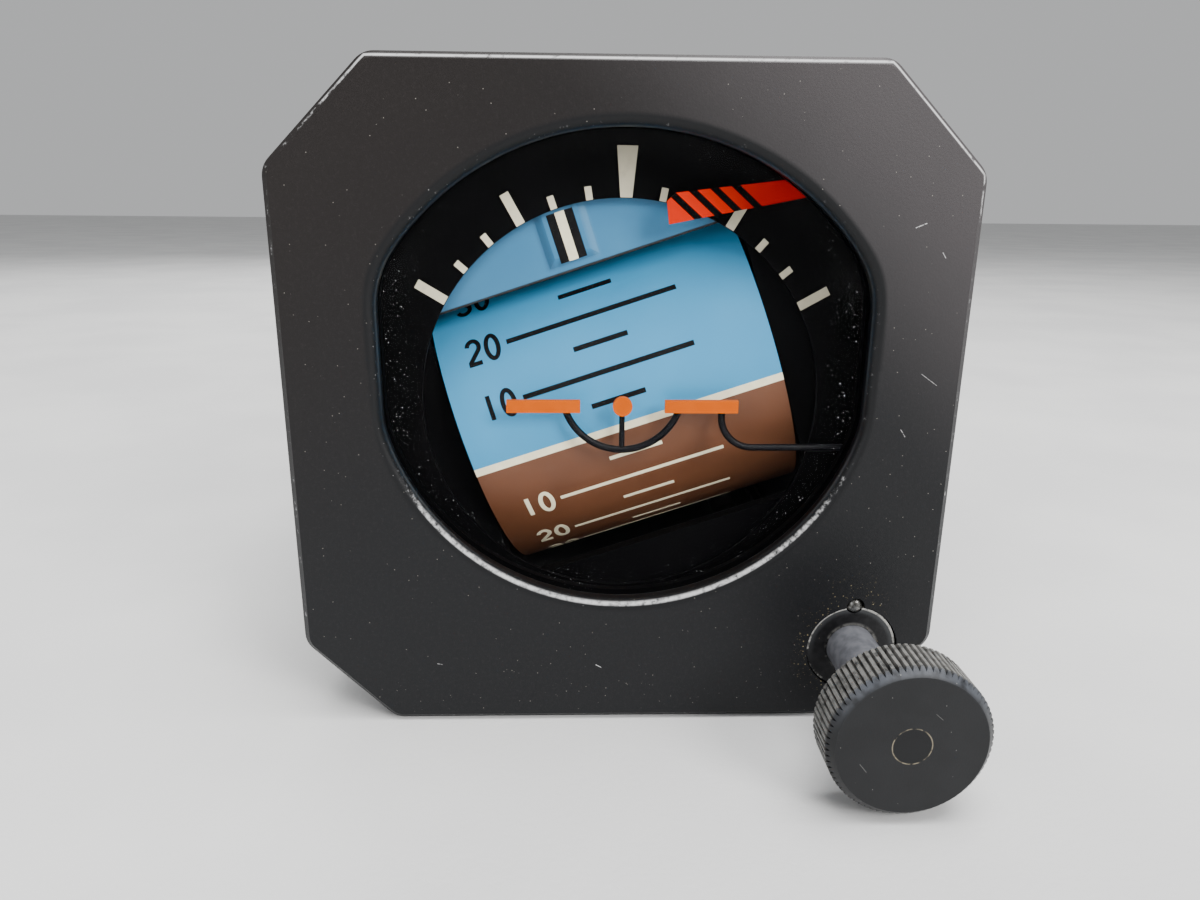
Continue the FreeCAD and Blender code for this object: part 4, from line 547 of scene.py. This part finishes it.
def markFinish(name, colour, second):
    made = Finish(name)
    patches = made.noise(1.2, 3)
    return made.surface(made.mottle(patches, colour, second), patches * 0.1 + 0.5, 0.0,
                        made.noise(0.2) * 0.003, Specular_IOR_Level=0.15)


knobLook = {
    "radius": 9.4, "face": -32.4, "bevel": 0.9, "spigot": 2.3, "gloss": 0.28,
    # the side colour is dust and painted light, the ridge and rubbed colours painted highlights
    "colour": paint(11, 12, 14), "second": paint(17, 18, 20), "side": paint(100, 99, 96),
    "ridge": paint(128, 127, 124), "rubbedAndLit": paint(100, 104, 112), "specks": paint(150, 150, 146),
    "scratches": (((25.2, -33.4), (26.0, -34.4), 0.05), ((33.0, -27.2), (33.8, -27.9), 0.04)),
}


def knobFinish():
    made = Finish("knob_black")
    away = made.radius(frontSizes["knobX"], frontSizes["knobZ"])
    patches = made.noise(3.5, 3)
    colour = made.mottle(patches, knobLook["colour"], knobLook["second"])
    behindFace = made.y - knobLook["face"]
    # the fluted side lighter, partly dust and partly painted light in its shaded grooves; the ridges
    # lighter as a painted highlight; the bevel's upper side lighter as a painted highlight
    side = made.band(behindFace, knobLook["bevel"] * 0.8, knobLook["bevel"] * 1.4)
    ridge = made.band(away, knobLook["radius"] - 0.22, knobLook["radius"] - 0.02) * side
    colour = made.mix(side * made.band(made.noise(1.0, 3), 0.2, 0.6) * 0.7, colour, knobLook["side"])
    colour = made.mix(ridge * made.band(made.noise(1.0, 3), 0.2, 0.6) * 0.4, colour, knobLook["ridge"])
    bevel = made.band(away, knobLook["radius"] - 1.1, knobLook["radius"] - 0.5) * (1 - side)
    # the bevel's upper side is lighter, as a painted highlight
    litUpperSide = made.band(made.z - frontSizes["knobZ"], 1, 7)
    rubbedAndLit = bevel * litUpperSide * made.band(made.noise(1.4, 2), 0.2, 0.6)
    colour = made.mix(rubbedAndLit * 0.34, colour, knobLook["rubbedAndLit"])
    dust = made.most(made.specks(1.0, 0.4, 0.08), made.specks(3.1, 0.3, 0.045, (5, 2, 9)))
    first, second = [made.line(*scratch) for scratch in knobLook["scratches"]]
    scratch = made.most(first, second)
    colour = made.mix(made.most(dust * 0.6, scratch * 0.25), colour, knobLook["specks"])
    return made.surface(colour, patches * 0.12 + 0.46 - bevel * 0.16, 0.0, made.noise(0.22, 3) * 0.008,
                        Specular_IOR_Level=knobLook["gloss"])


shaftLook = {
    "colour": paint(104, 105, 110), "second": paint(84, 85, 90), "face": paint(12, 13, 15),
    "ring": paint(128, 120, 102), "worn": paint(110, 112, 116), "metal": 0.25, "gloss": 0.3,
}


def shaftFinish():
    made = Finish("shaft_dark")
    away = made.radius(frontSizes["knobX"], frontSizes["knobZ"])
    patches = made.noise(1.4, 3)
    onFace = made.band(made.y, knobLook["face"] + 0.25, knobLook["face"] + 0.05)
    barrel = made.mottle(patches, shaftLook["colour"], shaftLook["second"])
    colour = made.mix(onFace, barrel, shaftLook["face"])
    ring = made.band(abs(away - knobLook["spigot"] + 0.08), 0.10, 0.03) * onFace
    colour = made.mix(ring * made.band(made.noise(0.7, 3), 0.35, 0.6) * 0.8, colour, shaftLook["ring"])
    colour = made.mix(made.edge(0.2) * (1 - onFace) * 0.7, colour, shaftLook["worn"])
    colour = made.mix(made.specks(0.9, 0.2, 0.06) * 0.6, colour, dustColour)
    return made.surface(colour, patches * 0.2 + 0.36, shaftLook["metal"], made.noise(0.15) * 0.004,
                        Specular_IOR_Level=shaftLook["gloss"])


collarLook = {
    "colour": paint(14, 14, 16), "second": paint(26, 26, 28), "shoulder": paint(84, 86, 88),
    "worn": paint(214, 212, 206), "dust": paint(140, 124, 98), "metal": 0.5,
}


def collarFinish():
    made = Finish("bushing_dark")
    away = made.radius(frontSizes["knobX"], frontSizes["knobZ"])
    patches = made.noise(0.9, 3)
    colour = made.mottle(patches, collarLook["colour"], collarLook["second"])
    outer = made.band(away, frontSizes["collar"] - 0.38, frontSizes["collar"] - 0.16)
    inner = made.band(away, frontSizes["collarBore"] + 0.35, frontSizes["collarBore"])
    # the near-white rings round the outer and inner edges are partly wear and partly a painted highlight,
    # stronger on the upper side
    upper = made.band(made.z, frontSizes["knobZ"] - 1, frontSizes["knobZ"] + 4) * 0.3
    worn = made.most(outer, inner * 0.15) * made.band(made.noise(0.8, 3) + upper, 0.5, 0.8)
    shoulder = made.band(away, frontSizes["collar"] - 1.1, frontSizes["collar"] - 0.4)
    lit = made.band(made.z, frontSizes["knobZ"] - 3, frontSizes["knobZ"] + 4)
    colour = made.mix(shoulder * lit * 0.5, colour, collarLook["shoulder"])
    colour = made.mix(worn, colour, collarLook["worn"])
    colour = made.mix(made.specks(0.7, 0.3, 0.10) * 0.8, colour, collarLook["dust"])
    return made.surface(colour, patches * 0.2 + 0.32, collarLook["metal"], made.noise(0.15) * 0.008)


scaleLook = {
    "colour": (0.78, 0.72, 0.53, 1), "greyer": (0.33, 0.305, 0.235, 1), "patch": (0.40, 0.36, 0.27, 1),
    "gloss": 0.1,
}


def scaleFinish():
    # the scale's print, greyer towards the right and the top
    made = Finish("print_scale")
    patches = made.noise(1.2, 3)
    greyer = made.band(made.x + made.noise(3, 2) * 4, -14, 12) * 0.6 + made.band(made.z, 29, 33) * 0.4
    colour = made.mix(greyer, scaleLook["colour"], scaleLook["greyer"])
    colour = made.mix(made.band(patches, 0.45, 0.75) * 0.3, colour, scaleLook["patch"])
    return made.surface(colour, patches * 0.1 + 0.5, 0.0, made.noise(0.2) * 0.003,
                        Specular_IOR_Level=scaleLook["gloss"])


cream, ink = (0.95, 0.89, 0.64, 1), paint(6, 6, 9)
finishes.update({
    "bezel_paint": bezelFinish(), "case_black": caseFinish(), "inner_black": innerFinish(),
    "window_glass": glassFinish(), "symbol_orange": orangeFinish(), "flag_red": flagFinish(),
    "sky_blue": skyFinish(), "drum_face": drumFinish(), "knob_black": knobFinish(),
    "shaft_dark": shaftFinish(), "bushing_dark": collarFinish(),
})
printing = {
    "cream": markFinish("print_cream", cream, (0.88, 0.81, 0.57, 1)), "scale": scaleFinish(),
    "ink": markFinish("print_ink", ink, paint(12, 12, 13)),
}

slotOf = {part["node"]: part["material_slot"] for part in frame["record"]["subparts"]}
for name, part in nodes.items():
    part.data.materials.clear()
    part.data.materials.append(finishes[slotOf[name]])
print("finishes on", len(slotOf), "nodes")


# a tree that sets bars round a circle: the circle lies round Y, the first angle is from Z towards X


def growBarsRound():
    group = bpy.data.node_groups.new("barsRound", "GeometryNodeTree")
    for name, kind in (("Geometry", "Geometry"), ("Count", "Int"), ("First", "Float"), ("Step", "Float"),
                       ("Radius", "Float"), ("Across", "Float"), ("Deep", "Float"), ("Outward", "Float"),
                       ("Material", "Material")):
        group.interface.new_socket(name=name, in_out="INPUT", socket_type="NodeSocket" + kind)
    group.interface.new_socket(name="Geometry", in_out="OUTPUT", socket_type="NodeSocketGeometry")
    grow = Tree(group)
    given = grow.node("NodeGroupInput").outputs
    index = Value(grow, grow.node("GeometryNodeInputIndex").outputs[0])
    angle = index * Value(grow, given["Step"]) + Value(grow, given["First"])
    radius = Value(grow, given["Radius"])
    spot = grow.node("ShaderNodeCombineXYZ", None, {
        0: grow.maths("SINE", angle) * radius, 2: grow.maths("COSINE", angle) * radius}).outputs[0]
    points = grow.node("GeometryNodePoints", None, {"Count": given["Count"], "Position": spot}).outputs[0]
    size = grow.node("ShaderNodeCombineXYZ", None, {
        0: given["Across"], 1: given["Deep"], 2: given["Outward"]}).outputs[0]
    bar = grow.node("GeometryNodeMeshCube", None, {"Size": size}).outputs[0]
    lean = grow.node("ShaderNodeCombineXYZ", None, {1: angle}).outputs[0]
    turn = grow.node("FunctionNodeEulerToRotation", None, {0: lean}).outputs[0]
    bars = grow.node("GeometryNodeInstanceOnPoints", None, {
        "Points": points, "Instance": bar, "Rotation": turn}).outputs[0]
    real = grow.node("GeometryNodeRealizeInstances", None, {0: bars}).outputs[0]
    dressed = grow.node("GeometryNodeSetMaterial", None, {
        "Geometry": real, "Material": given["Material"]}).outputs[0]
    grow.node("NodeGroupOutput", None, {0: dressed})
    return group


barsRound = growBarsRound()
barSockets = {item.name: item.identifier for item in barsRound.interface.items_tree
              if item.in_out == "INPUT"}


def put(name, data):
    # a new object in the scene
    holder = bpy.data.objects.new(name, data)
    bpy.context.scene.collection.objects.link(holder)
    return holder


def meshOf(made, name, material):
    # ends the building of a mesh
    mesh = bpy.data.meshes.new(name)
    made.to_mesh(mesh)
    made.free()
    mesh.materials.append(material)
    return mesh


def keep(name, mesh, place, body):
    # a finished piece: its place goes into its mesh, and it rides on its body
    mesh.transform(place)
    piece = put(name, mesh)
    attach(piece, body)


def barMesh(rows, material):
    # each row: count, first angle, step, middle radius, across, deep, outward
    joined = bmesh.new()
    for row in rows:
        holder = put("bars", bpy.data.meshes.new("bars"))
        modifier = holder.modifiers.new("bars", "NODES")
        modifier.node_group = barsRound
        names = ("Count", "First", "Step", "Radius", "Across", "Deep", "Outward")
        count, first, step, *sizes = row
        values = [count, math.radians(first), math.radians(step)] + [size * mm for size in sizes]
        for label, value in zip(names, values):
            modifier[barSockets[label]] = value
        modifier[barSockets["Material"]] = material
        ready = holder.evaluated_get(bpy.context.evaluated_depsgraph_get())
        made = bpy.data.meshes.new_from_object(ready)
        joined.from_mesh(made)
        bpy.data.objects.remove(holder)
    return meshOf(joined, "bars", material)


def prismMesh(outlines, back, front, material):
    # flat shapes given by their corners (x, z), raised from back to front, which is towards -Y
    made = bmesh.new()
    for corners in outlines:
        rear = [made.verts.new((x * mm, back * mm, up * mm)) for x, up in corners]
        fore = [made.verts.new((x * mm, front * mm, up * mm)) for x, up in corners]
        made.faces.new(rear)
        made.faces.new(fore[::-1])
        for i in range(len(corners)):
            j = (i + 1) % len(corners)
            made.faces.new((rear[j], rear[i], fore[i], fore[j]))
    bmesh.ops.recalc_face_normals(made, faces=made.faces)
    return meshOf(made, "prism", material)


# the roll scale on its mask
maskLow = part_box("scale_mask")[0]
scaleMarks = {
    "turn": 0.62, "inner": 26.35, "short": 28.0, "long": 30.6, "shortWide": 0.86, "longWide": 1.2,
    "proud": 0.05, "wedgeTop": 32.5, "wedgeHalfTop": 1.30, "wedgeHalfLow": 0.75,
}


def scalePieces():
    sizes = scaleMarks
    inner, deep = sizes["inner"], sizes["proud"] * 2

    def row(first, count, step, outer, wide):
        return (count, first, step, (inner + outer) / 2, wide, deep, outer - inner)

    short = [row(first, 2, 10, sizes["short"], sizes["shortWide"]) for first in (-50, -20, 10, 40)]
    long = [row(first, 2, 30, sizes["long"], sizes["longWide"]) for first in (-60, 30)]
    place = (Matrix.Translation((0, maskLow.y, 0))
             @ Matrix.Rotation(math.radians(sizes["turn"]), 4, "Y"))
    keep("roll_scale_ticks", barMesh(short + long, printing["scale"]), place, "case")
    corners = [(-sizes["wedgeHalfLow"], inner), (sizes["wedgeHalfLow"], inner),
               (sizes["wedgeHalfTop"], sizes["wedgeTop"]), (-sizes["wedgeHalfTop"], sizes["wedgeTop"])]
    wedge = prismMesh([corners], sizes["proud"], -sizes["proud"], printing["scale"])
    keep("roll_scale_wedge", wedge, place, "case")


# the index on the sky plate's pad
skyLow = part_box("sky_plate")[0]
indexMarks = {"low": 19.65, "high": 25.9, "white": 0.63, "outer": 1.75, "proud": 0.03}


def indexPieces():
    sizes = indexMarks
    low, high, white, outer = [sizes[name] for name in ("low", "high", "white", "outer")]
    place = Matrix.Translation((0, skyLow.y, 0)) @ Matrix.Rotation(math.radians(drumSizes["roll"]), 4, "Y")
    middle = [[(-white, low), (white, low), (white, high), (-white, high)]]
    wide = outer - white
    sides = [[(x, low), (x + wide, low), (x + wide, high), (x, high)] for x in (-outer, white)]
    keep("index_white", prismMesh(middle, sizes["proud"], -sizes["proud"], printing["cream"]), place,
         "roll_frame")
    keep("index_black", prismMesh(sides, sizes["proud"], -sizes["proud"], printing["ink"]), place,
         "roll_frame")


# lines and figures round the drum
drumMarks = {
    "step": 10, "count": 8, "longHalf": 11.7, "shift": -0.2, "shortHalf": 3.7, "black": 0.68, "cream": 0.55,
    "horizon": 1.05, "proud": 0.03, "figureHigh": 3.9, "figureWide": 2.2, "stroke": 0.6,
    "zeroGap": 2.0, "tensGap": 2.55, "longestRun": 0.3,
}


def ovalRun(x, up, halfWide, halfHigh, first, last, count=14):
    return [(x + halfWide * math.cos(math.radians(first + (last - first) * i / count)),
             up + halfHigh * math.sin(math.radians(first + (last - first) * i / count)))
            for i in range(count + 1)]


# centre lines of the figures, in a box one wide and one high round its middle; True where a line closes
figures = {
    "0": [(ovalRun(0, 0, 0.5, 0.5, 0, 360, 28)[:-1], True)],
    "1": [([(0, -0.5), (0, 0.5)], False)],
    "2": [(ovalRun(0, 0.22, 0.5, 0.28, 170, -35) + [(-0.46, -0.42), (-0.46, -0.5), (0.5, -0.5)], False)],
    "3": [(ovalRun(-0.05, 0.25, 0.5, 0.25, 160, -90, 12)[:-1]
           + ovalRun(-0.05, -0.25, 0.55, 0.25, 90, -160, 12), False)],
    "4": [([(0.2, -0.5), (0.2, 0.5), (-0.5, -0.18), (0.5, -0.18)], False)],
    "5": [([(0.42, 0.5), (-0.36, 0.5), (-0.42, 0.06)] + ovalRun(-0.02, -0.2, 0.5, 0.3, 130, -150), False)],
    "6": [(ovalRun(0, -0.22, 0.5, 0.28, 0, 360, 24)[:-1], True),
          ([(-0.5, -0.2), (-0.3, 0.2), (0.2, 0.5)], False)],
    "7": [([(-0.5, 0.5), (0.5, 0.5), (-0.12, -0.5)], False)],
    "8": [(ovalRun(0, 0.26, 0.42, 0.24, 0, 360, 20)[:-1], True),
          (ovalRun(0, -0.24, 0.5, 0.26, 0, 360, 20)[:-1], True)],
}


def strokeOutline(points, wide, closed):
    # the two sides of a line of even width
    sides = []
    last = len(points) - 1
    for i, point in enumerate(points):
        before = Vector(points[i - 1] if i or closed else point)
        after = Vector(points[(i + 1) % len(points)] if i < last or closed else point)
        here = Vector(point)
        into = (here - before).normalized() if (here - before).length else (after - here).normalized()
        out = (after - here).normalized() if (after - here).length else into
        middle = (into + out).normalized()
        side = Vector((-middle.y, middle.x))
        reach = wide / 2 / max(0.5, side.dot(Vector((-out.y, out.x))))
        sides.append((here + side * reach, here - side * reach))
    return sides


def divided(points, longest, closed):
    # more points on the long runs, so that they follow the drum
    result = []
    for i, point in enumerate(points):
        result.append(point)
        if i < len(points) - 1 or closed:
            here, there = Vector(point), Vector(points[(i + 1) % len(points)])
            parts = math.ceil((there - here).length / longest)
            result += [tuple(here.lerp(there, k / parts)) for k in range(1, parts)]
    return result


def figureMesh(labels, material):
    # each label: text, its middle along the drum's axis, its middle as an arc length up the drum
    sizes = drumMarks
    stroke = sizes["stroke"]
    wide, high = sizes["figureWide"] - stroke, sizes["figureHigh"] - stroke
    radius = drumSizes["radius"]
    made = bmesh.new()

    def onDrum(point, out):
        angle = point.y / radius
        reach = radius + out
        return made.verts.new((point.x * mm, -reach * math.cos(angle) * mm, reach * math.sin(angle) * mm))

    for text, across, up in labels:
        for points, closed in figures[text]:
            placed = divided([(across + x * wide, up + y * high) for x, y in points],
                             sizes["longestRun"], closed)
            rings = [[onDrum(left, sizes["proud"]), onDrum(right, sizes["proud"]),
                      onDrum(right, -sizes["proud"]), onDrum(left, -sizes["proud"])]
                     for left, right in strokeOutline(placed, stroke, closed)]
            count = len(rings)
            for i in range(count if closed else count - 1):
                here, there = rings[i], rings[(i + 1) % count]
                for k in range(4):
                    m = (k + 1) % 4
                    made.faces.new((here[k], here[m], there[m], there[k]))
            if not closed:
                made.faces.new(rings[0][::-1])
                made.faces.new(rings[-1])
    bmesh.ops.recalc_face_normals(made, faces=made.faces)
    return meshOf(made, "figures", material)


def drumPieces():
    sizes = drumMarks
    radius, ratio = drumSizes["radius"], drumSizes["ratio"]
    # the bars' own circle lies round Y; here it goes round the drum, angles upwards from the horizon
    onAxis = Matrix(((0, -1, 0, 0), (0, 0, -1, 0), (1, 0, 0, 0), (0, 0, 0, 1)))
    shifted = drumPlace @ Matrix.Translation((sizes["shift"] * mm, 0, 0)) @ onAxis
    step = sizes["step"] * ratio
    deep = 2 * sizes["proud"]
    for name, sign, across, ink in (("sky", 1, sizes["black"], "ink"),
                                    ("ground", -1, sizes["cream"], "cream")):
        turn = sign * step
        long = [(sizes["count"], turn, turn, radius, across, 2 * sizes["longHalf"], deep)]
        short = [(sizes["count"], turn / 2, turn, radius, across, 2 * sizes["shortHalf"], deep)]
        keep(name + "_long_lines", barMesh(long, printing[ink]), shifted, "drum")
        keep(name + "_short_lines", barMesh(short, printing[ink]), drumPlace @ onAxis, "drum")
        left = sizes["shift"] - sizes["longHalf"]
        labels = []
        for ten in range(1, sizes["count"] + 1):
            up = sign * ten * math.radians(step) * radius
            labels.append(("0", left - sizes["zeroGap"], up))
            labels.append((str(ten), left - sizes["zeroGap"] - sizes["tensGap"], up))
        keep(name + "_figures", figureMesh(labels, printing[ink]), drumPlace, "drum")
    line = [(1, 0, 0, radius, sizes["horizon"], 2 * drumSizes["half"], deep)]
    keep("horizon_line", barMesh(line, printing["cream"]), drumPlace @ onAxis, "drum")


scalePieces()
indexPieces()
drumPieces()
print("printing done")


# floor, light and camera


def stage():
    made = Finish("floor_pale")
    patches = made.noise(60, 4)
    colour = made.mottle(patches, paint(196, 196, 196), paint(206, 206, 205))
    material = made.surface(colour, 0.75, 0.0, made.noise(0.9, 3) * 0.05)
    # just under the bezel, so that they never share a plane
    half, level = 4.0, bezelLow.z - 0.1 * mm
    made = bmesh.new()
    corners = ((-half, -half), (half, -half), (half, half), (-half, half))
    made.faces.new([made.verts.new((x, y, level)) for x, y in corners])
    floor = put("floor", meshOf(made, "floor", material))


# each light: place and aim in metres, width, height, watts, colour
lights = {
    "overhead": ((0.10, -0.12, 0.75), (0, 0.0, 0), 0.7, 0.5, 12.5, (1, 1, 1)),
    "frontRight": ((0.45, -0.55, 0.40), (0, 0, 0), 0.30, 0.30, 7.4, (1, 0.99, 0.98)),
    "frontLeft": ((-0.55, -0.60, 0.25), (0, 0, 0), 0.5, 0.4, 2.2, (0.97, 0.98, 1)),
    "behind": ((-0.2, 0.75, 0.5), (0, 0.1, 0), 0.6, 0.4, 5.0, (1, 1, 1)),
}


studio = {"colour": (0.80, 0.81, 0.82, 1), "strength": 0.62, "nearest": 0.002}


def lightUp():
    for name, (place, aim, wide, high, watts, colour) in lights.items():
        lamp = bpy.data.lights.new(name, "AREA")
        lamp.shape = "RECTANGLE"
        lamp.size, lamp.size_y = wide, high
        lamp.energy = watts
        lamp.color = colour
        holder = put(name, lamp)
        holder.location = place
        holder.rotation_euler = (Vector(aim) - Vector(place)).to_track_quat("-Z", "Y").to_euler()
    world = bpy.data.worlds.new("studio")
    world.use_nodes = True
    background = world.node_tree.nodes["Background"].inputs
    background["Color"].default_value = studio["colour"]
    background["Strength"].default_value = studio["strength"]
    bpy.context.scene.world = world


cameraView = {
    "place": (-6.118, -112.340, 25.412), "lens": 25.662, "sensor": 36,
    "right": (0.999568, -0.028003, 0.008936), "up": (-0.000876, 0.275474, 0.961308),
    "back": (-0.029381, -0.960901, 0.275331),
}


def setCamera():
    camera = bpy.data.cameras.new("view")
    camera.lens = cameraView["lens"]
    camera.sensor_width = cameraView["sensor"]
    camera.clip_start = studio["nearest"]
    holder = put("view", camera)
    columns = [Vector(cameraView[name]) for name in ("right", "up", "back")]
    turn = Matrix(columns).transposed().to_4x4()
    holder.matrix_world = Matrix.Translation(Vector(cameraView["place"]) * mm) @ turn
    bpy.context.scene.camera = holder


stage()
lightUp()
setCamera()
print("floor, lights and camera set")
